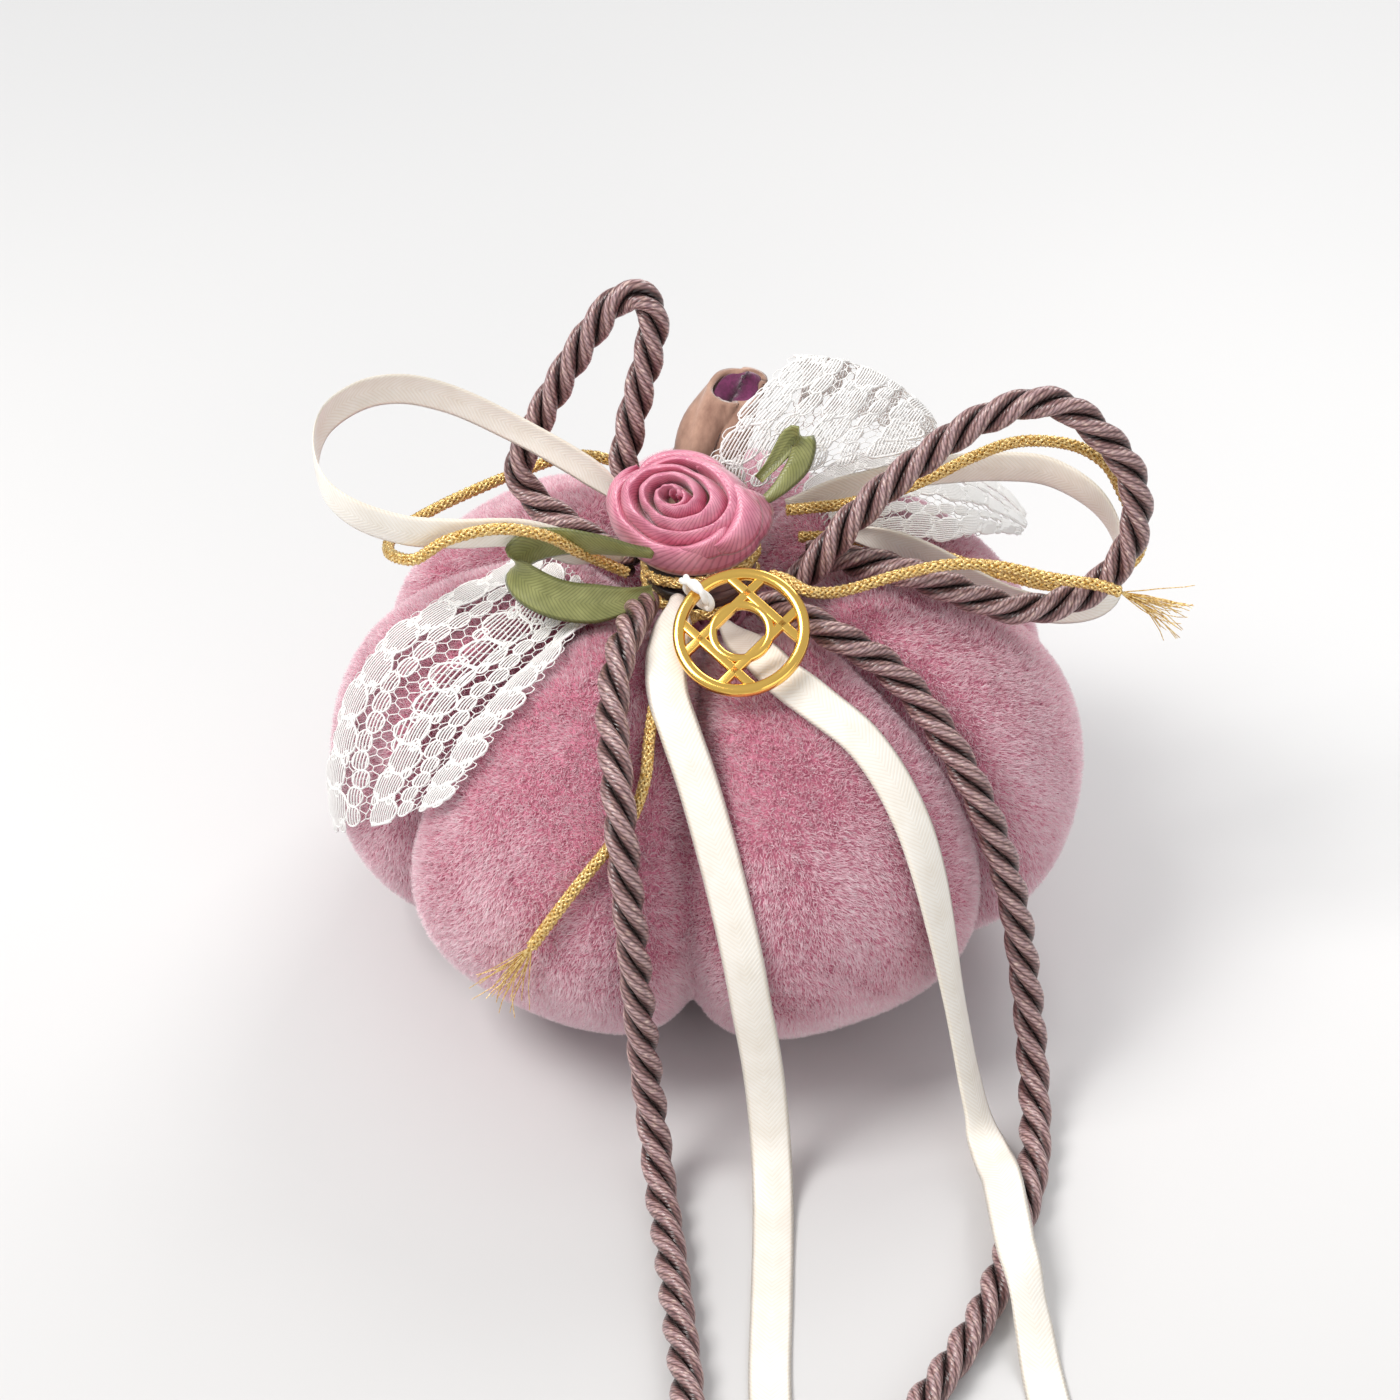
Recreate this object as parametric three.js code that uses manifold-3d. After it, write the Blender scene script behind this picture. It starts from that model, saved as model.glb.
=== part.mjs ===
// Ring bearer pillow: a small stuffed velvet pumpkin with a bow of lace, satin ribbon, twisted rope
// and gold braid tied round its stem, a ribbon rose on the bow and a gold charm on a white cord.
// Units are millimetres and +Z is up. The pillow rests on z = 0 with its axis on the Z axis, its
// front faces -Y, and the tails lie in front of it on the surface that it rests on.
import * as THREE from "three";
import { mergeVertices } from "three/addons/utils/BufferGeometryUtils.js";
import Module from "manifold-3d";

const wasm = await Module();
wasm.setup();

// ---- driving dimensions ----
const GAP = 0.3; // clearance between pieces that touch
const DEG = Math.PI / 180;

const PILLOW_HALF_WIDTH = 59.3; // along X
const PILLOW_HALF_DEPTH = 57.8; // along Y
const WAIST_HEIGHT = 30; // height of the widest part
const RISE = 37; // waist to the lobes' unpinched top
const DROP = 36; // waist to the lobes' unpinched underside
const TOP_DIMPLE = 14; // how far the tied centre pulls the top in
const BASE_DIMPLE = 11; // how far it pulls the underside in
const DIMPLE_RADIUS = 26; // how far out the pull is felt
const PINCH = 0.105; // how much a tie line pulls the waist in, as a share of the radius
const PINCH_TOP = 0.09; // more pull near the top
const PINCH_BASE = 0.05; // more pull near the underside
const TIE_LINES = [-148, -93, -38, 12, 62, 112, 162]; // degrees round the axis, -90 is the front
const VELVET = 0.8; // cloth thickness, with the pile laid flat
const FILL_PLAY = 1.7; // room between the cloth and the stuffing
const MOUTH_RADIUS = 3; // open middle of the gathered cloth
const STEPS_PER_LOBE = 6; // facets round each lobe
const SKIN_ROWS = 16; // facets from the underside to the top

const THREAD = 0.9; // shaping thread diameter
const PILE_ROOM = 1.1; // room for the velvet's pile under what lies on it
const THREAD_CLIMBS = [-72, -55, -35, -15, 5, 25, 45, 62, 74, 82]; // where a thread is laid on the skin
const CENTRE_THREAD = 2.4; // the bunched threads through the middle
const GATHER_RADIUS = 6; // of the running stitch that closes the cover's top

const STEM_RADIUS = 7;
const STEM_TIP_RADIUS = 4.6;
const STEM_WALL = 1.1;

const LACE = 0.5; // lace thickness
const ROPE = 5; // twisted rope diameter
const RIBBON_WIDTH = 6;
const RIBBON = 0.4; // ribbon thickness
const BRAID = 1.8; // gold braid diameter
const FRAY_LENGTH = 9;
const FRAY_RADIUS = 3;

const KNOT_SIZE = [8.5, 7.8, 5.7]; // half sizes of the bow's centre knot
const KNOT_PLACE = [-1, -1, 65];
const ROSE_RADIUS = 13;
const ROSE_DEPTH = 9;
const LEAF_THICKNESS = 2.4;
const CHARM_RADIUS = 10;
const CHARM_RIM = 1.8;
const CHARM_BAR = 1.3;
const CHARM_CORD = 1.6; // white cord that the charm hangs on
const LOOP_PLAY = 1.0; // room round the charm's rim inside the cord's loop

// ---- routes, in millimetres ----
const STEM_ROUTE = [
  [0, 14.5, 64.5], [-0.3, 14.6, 70], [0.8, 14.9, 76], [2.8, 15.5, 81.5], [6.2, 18, 88],
];
const STEM_TIP_OVAL = 0.72; // how much flatter the tip is than it is wide
const STEM_HOLLOW_FROM = 0.55; // how far up the roll is closed
const STEM_CORE_TOP = 0.97; // how far up the core ends

// Lace edges on the skin: [azimuth in degrees, climb in degrees, lift in mm]
const LACE_BRIDGE = 0.6; // how far the lace spans a groove rather than sink into it
const LACE_LEFT = [
  [[160, 69, 1.4], [178, 65, 1.4], [183, 58, 1.4], [184, 50, 1.4], [185, 41, 1.4], [187, 32, 1.4],
    [190, 23, 1.4], [193, 14, 1.4], [195, 5, 1.4], [197, -6, 1.4]],
  [[205, 77, 1.4], [216, 74, 1.4], [222, 70, 1.4], [226, 64, 1.4], [227.5, 58, 1.4],
    [227.5, 52, 1.4], [227, 46, 1.4], [227, 40, 1.4], [226, 34, 1.4], [225, 29, 1.4]],
];
const LACE_RIGHT = [
  [[10, 75, 1.4], [17, 70, 1.4], [19, 63, 1.4], [20, 55, 1.5], [23, 46, 2], [26, 38, 3], [28, 29, 5]],
  [[50, 72, 2.5], [49, 65, 4], [48, 56, 6], [45, 48, 8], [40, 41, 9], [35, 35, 9], [30, 29, 8]],
];
const LACE_LOOP = [
  [[-1, 6.5, 73.5], [0, 7.2, 78], [3.5, 9.3, 84], [8.5, 12, 89], [12.5, 16.5, 91], [14, 21, 87],
    [13.5, 24.5, 78], [11, 26, 69]],
  [[31, 7.5, 79.5], [32, 9.5, 80.5], [33, 12, 81], [34, 15, 80.5], [35, 18, 78.5], [35.5, 21, 75],
    [35, 24, 71], [33.5, 26, 67]],
];
const LACE_LOOP_CROWN = 3;

const ROPES = {
  rope_tail_left: {
    steps: 34,
    points: [
      [-9.5, -8.5, 64], [-9.8, -13, 66], [-10.8, -18.5, 67.8], [-12, -23.5, 68.3],
      [-13.2, -29, 66.8], [-13.7, -35.5, 63.7], [-13.1, -43, 60.4], [-12.4, -48.8, 56],
      [-11.6, -53.5, 48.2], [-10.7, -56.8, 39.5], [-10, -58.9, 30.5], [-9.3, -60.2, 21.5],
      [-8.5, -62, 13.5], [-7.6, -65.5, 7], [-6.8, -71.5, 3.3], [-5.8, -79, 2.6], [-4.4, -92, 2.6],
      [-3, -106, 2.6], [-2.5, -120, 2.6], [-5, -134, 2.6], [-11.5, -147, 2.6], [-21, -158, 2.6],
      [-32, -166, 2.6],
    ],
  },
  rope_tail_right: {
    steps: 36,
    points: [
      [7.5, -11, 65], [10.8, -13.8, 66.8], [14.5, -17.5, 67.4], [19.4, -20.5, 66.3],
      [25.2, -21.5, 62.9], [30.3, -24, 58.6], [34.9, -28.6, 54], [39.4, -33.4, 47.7],
      [43.1, -36.4, 39], [45.6, -39, 30.5], [47.2, -41.5, 22], [48.4, -45, 13.8], [49, -50, 7.2],
      [49, -57, 3.5], [48.2, -65, 2.6], [46, -74, 2.6], [42.9, -83.5, 2.6], [39.4, -92.4, 2.6],
      [34.6, -101.4, 2.6], [28, -112, 2.6], [21.5, -124, 2.6], [18, -138, 2.6], [19, -152, 2.6],
      [25, -164, 2.6],
    ],
  },
  rope_loop_right: {
    steps: 24,
    points: [
      [11, -6.5, 63.5], [13.4, -6.6, 66], [16.8, -6.2, 70.2], [20.8, -4.6, 75.2], [27, -2, 80.7],
      [33, 0, 85], [38.5, 1, 89], [44, 1, 92], [48, 1, 93.3], [52.5, 1, 92.4], [57.3, 0, 88.8],
      [61.7, -1, 83.8], [63.6, -2, 78.5], [63.7, -3, 73], [61.8, -4, 67.9], [58.3, -5, 64],
      [53, -6, 61.6], [46.5, -7, 61.4], [40, -7, 63.6], [33, -6.4, 66.4], [27, -4.8, 67.6],
      [22, -3.3, 67.5], [18.5, -0.8, 66.5], [15, 1, 65.4],
    ],
  },
  rope_loop_back: {
    steps: 22,
    points: [
      [-11, 1.5, 63.5], [-14.5, 4, 63.9], [-18.5, 6.8, 64.6], [-22, 9.2, 65.8], [-25.5, 11.4, 67.3],
      [-28, 13.2, 69.6], [-28.7, 14.3, 73], [-26.4, 16, 78.3], [-23.9, 17, 83], [-20, 18, 90],
      [-16.2, 18.8, 95.9], [-13.2, 19.2, 99.4], [-10.5, 19, 100.4], [-8.3, 18.4, 98.4],
      [-8.2, 17.6, 94.5], [-9.2, 16.5, 89.5], [-10.6, 15, 84.5], [-11.9, 13, 79.2],
      [-12.6, 10.9, 74], [-11.3, 8.6, 69.3],
    ],
  },
};

const BRAIDS = {
  braid_tail_left: {
    steps: 16,
    points: [
      [-2, -11, 63], [-3.6, -15, 64.4], [-5.3, -19.5, 64.8], [-6.8, -25, 64.2], [-7.7, -30.4, 62.4],
      [-8.4, -36, 59.8], [-9, -41.5, 56.7], [-11.1, -46, 53], [-14.2, -48.9, 50.4],
      [-18.4, -51.3, 45.8], [-22.8, -52.8, 39.6], [-25.4, -53, 35.2],
    ],
  },
  braid_tail_right: {
    steps: 14,
    points: [
      [9.5, -10.3, 70.2], [11.8, -12.4, 70.8], [14.7, -14.4, 70.3], [18, -13.6, 69.4],
      [21.5, -12, 69], [28.6, -10, 70.1], [36.1, -8.5, 70.8], [43.5, -8, 70], [51, -8.5, 68.3],
      [58.4, -9, 67.3], [61.4, -9.5, 66.4],
    ],
  },
  braid_loop_left: {
    steps: 26,
    points: [
      [-12, -4.8, 66.5], [-15.5, -5.6, 69], [-19.5, -8.6, 73.5], [-23.5, -10.3, 77.3],
      [-30.6, -10.8, 79], [-38.2, -11, 77], [-43, -9.8, 72.8], [-46.8, -5.5, 70.2],
      [-48, -0.5, 68.4], [-46.8, 5, 67.3], [-43.5, 9.5, 66.8], [-39, 13.4, 67], [-33, 17.5, 67.4],
      [-28, 20, 68], [-22.2, 20.4, 70], [-17.6, 19.3, 71], [-13.5, 17.8, 70.5], [-10.5, 16.8, 69],
    ],
  },
  braid_loop_right: {
    steps: 30,
    points: [
      [12, 4.4, 71.4], [16, 4, 72.2], [20, 3.6, 73], [24, 3.2, 74.4], [29, 3, 76.2],
      [34.7, 4, 78.5], [39.2, 5, 80.5], [45, 6, 82.5], [49.5, 6, 83], [55.4, 5.5, 82.2],
      [59.5, 5, 79.5], [63.1, 5, 73], [66, 4.6, 67], [65.6, 4.6, 62.4], [62.5, 4, 59.8],
      [57, 2.6, 59], [52, 1.5, 59.4], [47, 1.2, 61], [39, 1.3, 63.8], [34.9, 1.5, 65.2],
      [27, 2.4, 66.2], [20.4, 3.8, 66.8], [14, 5, 66],
    ],
  },
};

const UPRIGHT = [0, -0.14, 0.99]; // a ribbon standing on its edge
const RIBBONS = {
  ribbon_tail_front: {
    steps: 40,
    sides: [[1, 0, 0]],
    points: [
      [-4.4, -10.8, 66.3], [-4.7, -15, 67.2], [-5.2, -19.8, 67.2], [-6, -24.5, 66.1],
      [-5.8, -30, 63.9], [-4, -35.5, 61.1], [-1.6, -41, 56.6], [1, -47.6, 50.4], [3.2, -52.9, 43.5],
      [5, -56.6, 36], [6.4, -58.6, 27.8], [7.8, -60, 19.5], [8.8, -62, 11.5], [9.4, -65.5, 5],
      [9.6, -71, 1.6], [9.5, -78, 0.7], [9.1, -90, 0.7], [8.6, -105, 0.7], [9, -119, 0.7],
      [9.5, -131, 0.7], [8.5, -144, 0.7], [5, -158, 0.7],
    ],
  },
  ribbon_tail_right: {
    steps: 44,
    sides: [[0.8, -0.5, 0.2], [0.9, 0.4, 0], [0.85, 0.5, 0], [0.9, 0.4, 0], [1, 0, 0], [1, 0, 0]],
    points: [
      [2.5, -11, 61.7], [4.5, -16.5, 63.8], [7.5, -22.5, 65.2], [11, -28, 65], [16.2, -31.5, 62.7],
      [22, -35, 59.5], [26.3, -39, 55.3], [29.9, -43.4, 49.4], [32.3, -46.7, 42.6],
      [34.2, -48.9, 34.6], [35.8, -50.9, 26.5], [37.4, -53, 18.5], [39, -55.8, 11],
      [40.7, -59.8, 5.4], [42, -65, 4.4], [42.9, -71, 5.7], [43.4, -77.5, 6.2], [43.9, -83.5, 6.3],
      [44.8, -89.5, 5.8], [45.8, -96, 3], [46.6, -103, 0.8], [48, -114, 0.7], [51, -127, 0.7],
      [56, -139, 0.7], [64, -150, 0.7],
    ],
  },
  ribbon_loop_left: {
    steps: 34,
    sides: [UPRIGHT],
    points: [
      [-10.5, 5, 71], [-13.5, 6, 73.5], [-17.5, 7.6, 76.2], [-22.2, 9.4, 78.5], [-29.8, 12, 81.7],
      [-38.7, 13, 85.9], [-46, 12, 88.4], [-51.8, 10, 88.5], [-56.8, 6, 86.7], [-58, 1, 83.9],
      [-56.3, -4, 81.1], [-52.5, -7, 79.3], [-45.2, -8.5, 77.1], [-37.8, -8.8, 76.5],
      [-27.6, -8, 76], [-21, -6.6, 72.8], [-17, -3.8, 69.4], [-13, -1, 66.8],
    ],
  },
  ribbon_loop_right: {
    steps: 36,
    sides: [UPRIGHT],
    points: [
      [12, 9, 69], [16, 10, 69.8], [21.8, 11.2, 70.6], [29.6, 13.4, 71.2], [37.5, 15.2, 71.3],
      [45, 16, 71.2], [52.3, 15, 71], [59, 11, 69], [62, 6.5, 66.6], [62.8, 2, 63.8],
      [62, -0.8, 60.8], [59.5, -2, 58.8], [54.2, -2, 57.4], [47, -1.5, 58.6], [40, -1.2, 62],
      [33, -0.9, 66.6], [27, 0, 68.8], [23, 1.2, 69.2], [19.5, 2.3, 69.4],
    ],
  },
};
const ROPE_KNOT = [4.2, 4.2, 4.6]; // half sizes of a rope's end knot
const FRAY_FLATNESS = 0.5;

const ROSE_PLACE = [-4, -2.5, 77.5];
const ROSE_FACING = [-0.26, -0.545, 0.797];
// the rose's outline as shares of its radius and depth
const ROSE_PROFILE = [
  [0, 0], [0.6, 0], [0.9, 0.25], [1, 0.6], [0.86, 0.86], [0.6, 0.8], [0.4, 1], [0.2, 0.88], [0, 0.94],
];
const LEAVES = {
  leaf_left: { root: [-11, -12.4, 69.2], tip: [-28, -11, 71], width: 7, facing: [0, -0.8, 0.6] },
  leaf_right: { root: [7.6, 0.5, 77], tip: [13.9, 5, 85.7], width: 7, facing: [0.1, -0.8, 0.6] },
};

const CHARM_MIDDLE = [5, -24, 70];
const CHARM_EYELET = [-1.5, -17.9, 72.6]; // the middle of the rim where the loop holds it
const CHARM_FACING = [-0.1, -0.5, 0.86];
const CHARM_TIE_ROOT = [-1.4, -10.2, 67.8];
const CHARM_INNER_RING = 4.2; // radius of the small ring
const CHARM_CROSS_BARS = 3.6; // how far the cross bars are from the middle
const CHARM_LONG_BARS = 4.9; // how far the bars that run towards the eyelet are from the middle

// ---- materials ----
const finish = (color, roughness, metalness = 0) =>
  new THREE.MeshStandardMaterial({ color, roughness, metalness });
const velvetPink = finish(0xc4788f, 0.95);
const fibreWhite = finish(0xf0eeea, 1);
const threadPink = finish(0xb06a80, 0.8);
const suedeTan = finish(0xb98a73, 0.9);
const feltPlum = finish(0x6b2350, 0.9);
const laceWhite = finish(0xf7f5f2, 0.7);
const ropeMauve = finish(0x8a6a6b, 0.6);
const satinCream = finish(0xf3ece2, 0.4);
const braidGold = finish(0xc79a45, 0.45, 0.7);
const satinRose = finish(0xc8607f, 0.4);
const satinOlive = finish(0x6f7a3e, 0.45);
const brassGold = finish(0xe5b64b, 0.2, 1);
const cordWhite = finish(0xf6f1ea, 0.6);

// ---- helpers ----
const pillow = new THREE.Group();

function add(name, geometry, material) {
  const mesh = new THREE.Mesh(geometry, material);
  mesh.name = name;
  pillow.add(mesh);
  return mesh;
}

/** Keeps only positions, merges shared vertices and turns the faces outwards. */
function closed(geometry) {
  geometry.deleteAttribute("normal");
  geometry.deleteAttribute("uv");
  const merged = mergeVertices(geometry, 1e-4);
  const at = merged.getAttribute("position");
  const index = Array.from(merged.getIndex().array);
  const corner = [new THREE.Vector3(), new THREE.Vector3(), new THREE.Vector3()];
  const kept = [];
  let volume = 0;
  for (let i = 0; i < index.length; i += 3) {
    const [a, b, c] = [index[i], index[i + 1], index[i + 2]];
    if (a === b || b === c || c === a) continue;
    [a, b, c].forEach((v, k) => corner[k].fromBufferAttribute(at, v));
    volume += corner[0].dot(corner[1].clone().cross(corner[2]));
    kept.push(a, b, c);
  }
  if (volume < 0) kept.reverse();
  merged.setIndex(kept);
  return merged;
}

/** Moves every vertex of a geometry to place(x, y, z). */
function moulded(geometry, place) {
  const at = geometry.getAttribute("position");
  for (let i = 0; i < at.count; i++) {
    const p = place(at.getX(i), at.getY(i), at.getZ(i));
    at.setXYZ(i, p.x, p.y, p.z);
  }
  return closed(geometry);
}

const vector = ([x, y, z]) => new THREE.Vector3(x, y, z);
const curveThrough = (points) => new THREE.CatmullRomCurve3(points.map(vector));

function asManifold(geometry) {
  const vertProperties = new Float32Array(geometry.getAttribute("position").array);
  const triVerts = new Uint32Array(geometry.getIndex().array);
  return new wasm.Manifold(new wasm.Mesh({ numProp: 3, vertProperties, triVerts }));
}

function asGeometry(manifold) {
  const { vertProperties, triVerts } = manifold.getMesh();
  const geometry = new THREE.BufferGeometry();
  geometry.setAttribute("position", new THREE.BufferAttribute(new Float32Array(vertProperties), 3));
  geometry.setIndex(Array.from(triVerts));
  return closed(geometry);
}

/** A round cord: a tube of flat-sided section along a smooth curve. */
function cordAlong(points, diameter, steps, sides) {
  const section = new THREE.Shape(
    Array.from({ length: sides }, (_, k) => {
      const turn = (2 * Math.PI * k) / sides;
      return new THREE.Vector2(Math.cos(turn), Math.sin(turn)).multiplyScalar(diameter / 2);
    }),
  );
  const options = { steps, bevelEnabled: false, extrudePath: curveThrough(points) };
  return closed(new THREE.ExtrudeGeometry(section, options));
}

/** A flat ribbon: a thin box laid along a curve, with its width along the side directions. */
function ribbonAlong(points, sides, steps, width = RIBBON_WIDTH, thickness = RIBBON) {
  const path = curveThrough(points);
  const across = sides.length > 1 ? curveThrough(sides) : null;
  const box = new THREE.BoxGeometry(width, thickness, 1, 1, 1, steps);
  return moulded(box, (x, y, z) => {
    const along = THREE.MathUtils.clamp(z + 0.5, 0, 1);
    const heading = path.getTangentAt(along);
    const side = across ? across.getPoint(along) : vector(sides[0]);
    side.addScaledVector(heading, -side.dot(heading)).normalize();
    const face = new THREE.Vector3().crossVectors(heading, side);
    return path.getPointAt(along).addScaledVector(side, x).addScaledVector(face, y);
  });
}

// ---- the pillow's skin ----
/** Angle round the axis of a place given in lobes: 0 is the first tie line, 1 the next. */
function azimuthOf(lobes) {
  const lobe = Math.floor(lobes) % TIE_LINES.length;
  const from = TIE_LINES[lobe];
  const to = lobe + 1 < TIE_LINES.length ? TIE_LINES[lobe + 1] : TIE_LINES[0] + 360;
  return (from + (to - from) * (lobes - Math.floor(lobes))) * DEG;
}

/** How full the lobe is at an angle: 0 on a tie line and 1 on the crest. */
function fullness(azimuth) {
  let turn = azimuth / DEG;
  while (turn < TIE_LINES[0]) turn += 360;
  while (turn >= TIE_LINES[0] + 360) turn -= 360;
  const lobe = TIE_LINES.findLastIndex((line) => line <= turn);
  const from = TIE_LINES[lobe];
  const to = lobe + 1 < TIE_LINES.length ? TIE_LINES[lobe + 1] : TIE_LINES[0] + 360;
  const crown = Math.sin((Math.PI * (turn - from)) / (to - from));
  return 1 - (1 - crown) ** 2.2;
}

/**
 * A point on the skin. climb runs from -90 degrees under the middle to 90 on top of it, inside is
 * how far the surface lies within the outer skin, and bridge above 0 spans the tie lines.
 */
function skin(azimuth, climb, inside = 0, bridge = 0) {
  const rise = Math.sin(climb * DEG);
  const over = rise > 0;
  const reach = Math.abs(Math.cos(climb * DEG)) ** (over ? 0.82 : 1);
  const spread = PILLOW_HALF_WIDTH * reach;
  const near = Math.min(spread / DIMPLE_RADIUS, 1);
  const pull = (1 - near * near) ** 2 * (over ? TOP_DIMPLE : -BASE_DIMPLE);
  const height = (over ? RISE : DROP) * rise - pull;
  const pinch = PINCH + (over ? PINCH_TOP : PINCH_BASE) * rise * rise;
  const full = fullness(azimuth);
  const squeeze = 1 - pinch * (1 - Math.max(full, bridge));
  const inward = (PILLOW_HALF_WIDTH - inside) / PILLOW_HALF_WIDTH;
  const x = (PILLOW_HALF_WIDTH - inside) * reach * squeeze * Math.cos(azimuth);
  const y = (PILLOW_HALF_DEPTH - inside) * reach * squeeze * Math.sin(azimuth);
  const z = WAIST_HEIGHT + (height * inward - inside * rise * (1 - reach) * 0.5) * squeeze;
  return new THREE.Vector3(x, y, Math.max(z, inside));
}

/** The skin's outward direction at a point. */
function skinNormal(azimuth, climb, bridge = 0) {
  const step = 0.5;
  const round = skin(azimuth + step * DEG, climb, 0, bridge).sub(
    skin(azimuth - step * DEG, climb, 0, bridge),
  );
  const upward = skin(azimuth, climb + step, 0, bridge).sub(skin(azimuth, climb - step, 0, bridge));
  return round.cross(upward).normalize();
}

/** The climb at which the skin is a given distance from the axis. */
function climbAt(radius, top) {
  const share = (radius / PILLOW_HALF_WIDTH) ** (top ? 1 / 0.82 : 1);
  return (top ? 1 : -1) * (90 - Math.asin(share) / DEG);
}

/**
 * A lobed ring round the axis: the outer wall climbs from the underside's hole to the top's hole,
 * and the inner wall comes back down, either inside the cloth or straight down the hole.
 */
function lobedRing({ outside, wall, hole }) {
  const low = climbAt(hole, false);
  const high = climbAt(hole, true);
  const outer = Array.from({ length: SKIN_ROWS + 1 }, (_, k) => {
    const share = (1 - Math.cos((Math.PI * k) / SKIN_ROWS)) / 2; // rows close up at both ends
    return [low + (high - low) * share, outside];
  });
  const inner = wall ? outer.map(([climb]) => [climb, outside + wall]).reverse() : [];
  const profile = [...outer, ...inner, outer[0]];
  const segments = TIE_LINES.length * STEPS_PER_LOBE;
  const blank = new THREE.LatheGeometry(
    profile.map((_, k) => new THREE.Vector2(1 + k, k)),
    segments,
  );
  const at = blank.getAttribute("position");
  for (let turn = 0; turn <= segments; turn++) {
    const azimuth = azimuthOf((turn % segments) / STEPS_PER_LOBE);
    profile.forEach(([climb, inside], k) => {
      const p = skin(azimuth, climb, inside);
      at.setXYZ(turn * profile.length + k, p.x, p.y, p.z);
    });
  }
  return closed(blank);
}

function makePillow() {
  const cloth = { outside: 0, wall: VELVET, hole: MOUTH_RADIUS };
  add("velvet_cover", lobedRing(cloth), velvetPink);
  const fill = { outside: VELVET + FILL_PLAY, hole: MOUTH_RADIUS };
  add("stuffing", lobedRing(fill), fibreWhite);
}

/** A tie line's thread lies in its groove, from the underside's middle to the top's. */
function makeThreads() {
  const lift = THREAD / 2 + PILE_ROOM;
  TIE_LINES.forEach((line, k) => {
    const azimuth = line * DEG;
    const points = THREAD_CLIMBS.map((climb) =>
      skin(azimuth, climb).addScaledVector(skinNormal(azimuth, climb, 1), lift).toArray(),
    );
    add(`shaping_thread_${k + 1}`, cordAlong(points, THREAD, 18, 6), threadPink);
  });
  const low = skin(0, climbAt(MOUTH_RADIUS, false)).z + VELVET;
  const high = skin(0, climbAt(MOUTH_RADIUS, true)).z - VELVET;
  const shaft = new THREE.CylinderGeometry(CENTRE_THREAD / 2, CENTRE_THREAD / 2, high - low, 8);
  shaft.rotateX(Math.PI / 2).translate(0, 0, (high + low) / 2);
  add("centre_thread", closed(shaft), threadPink);
}

/** The running stitch that gathers the cover's top, lying round the mouth under the bow. */
function makeGatherThread() {
  const ring = new THREE.TorusGeometry(GATHER_RADIUS, THREAD / 2, 6, 28);
  const climb = climbAt(GATHER_RADIUS, true);
  const thread = moulded(ring, (x, y, z) => {
    const azimuth = Math.atan2(y, x);
    const lift = skinNormal(azimuth, climb, 1).multiplyScalar(PILE_ROOM);
    const onCover = skin(azimuth, climb, 0, 1).add(lift);
    const outwards = Math.hypot(x, y) - GATHER_RADIUS;
    onCover.x += Math.cos(azimuth) * outwards;
    onCover.y += Math.sin(azimuth) * outwards;
    onCover.z += z;
    return onCover;
  });
  add("gather_thread", thread, threadPink);
}

/** A piece turned on a lathe, its axis then bent along a curve and its section made oval. */
function bentTurning(profile, path, from, to, ovalAt) {
  const turned = new THREE.LatheGeometry(
    profile.map(([r, t]) => new THREE.Vector2(r, t)),
    16,
  );
  return moulded(turned, (x, y, z) => {
    const along = THREE.MathUtils.lerp(from, to, y);
    const heading = path.getTangentAt(along);
    const side = new THREE.Vector3(1, 0, 0).addScaledVector(heading, -heading.x).normalize();
    const face = new THREE.Vector3().crossVectors(heading, side);
    return path.getPointAt(along).addScaledVector(side, x).addScaledVector(face, z * ovalAt(y));
  });
}

/** The stem: a hollow tapered roll of suede with a felt core that shows at its cut tip. */
function makeStem() {
  const path = curveThrough(STEM_ROUTE);
  const radius = (t) => THREE.MathUtils.lerp(STEM_RADIUS, STEM_TIP_RADIUS, t);
  const oval = (t) => THREE.MathUtils.lerp(1, STEM_TIP_OVAL, t);
  const outer = [0, 0.2, 0.4, 0.6, 0.8, 1].map((t) => [radius(t), t]);
  const inner = [1, 0.8, STEM_HOLLOW_FROM].map((t) => [radius(t) - STEM_WALL, t]);
  const wrap = [[0, 0], ...outer, ...inner, [0, STEM_HOLLOW_FROM]];
  add("stem_wrap", bentTurning(wrap, path, 0, 1, oval), suedeTan);
  const snug = (t) => radius(t) - STEM_WALL - GAP * 1.5;
  const low = STEM_HOLLOW_FROM + 0.02;
  const ends = [low, 0.8, STEM_CORE_TOP];
  const core = [[0, low], ...ends.map((t) => [snug(t), t]), [0, STEM_CORE_TOP]];
  add("stem_core", bentTurning(core, path, 0, 1, oval), feltPlum);
}

/** A strip of lace between two edges; place(edge, along) gives a point and its outward way. */
function laceStrip(place, columns, rows, crown = 0) {
  const box = new THREE.BoxGeometry(1, LACE, 1, columns, 1, rows);
  return moulded(box, (x, y, z) => {
    const across = x + 0.5;
    const along = THREE.MathUtils.clamp(z + 0.5, 0, 1);
    const { point, out } = place(across, along);
    return point.addScaledVector(out, y + crown * 4 * across * (1 - across));
  });
}

/** Lace lying on the skin: its edges are lists of [azimuth, climb, lift] in degrees and mm. */
function laceOnSkin(edges) {
  const [near, far] = edges.map(curveThrough);
  return (across, along) => {
    const spot = near.getPoint(along).lerp(far.getPoint(along), across);
    const azimuth = spot.x * DEG;
    const out = skinNormal(azimuth, spot.y, LACE_BRIDGE);
    const point = skin(azimuth, spot.y, 0, LACE_BRIDGE).addScaledVector(out, spot.z);
    return { point, out };
  };
}

/** Lace standing free between two edges given in mm. */
function laceInAir(edges) {
  const [near, far] = edges.map(curveThrough);
  return (across, along) => {
    const point = near.getPoint(along).lerp(far.getPoint(along), across);
    const heading = near.getTangent(along).lerp(far.getTangent(along), across);
    const width = far.getPoint(along).sub(near.getPoint(along));
    return { point, out: width.cross(heading).normalize() };
  };
}

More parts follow.
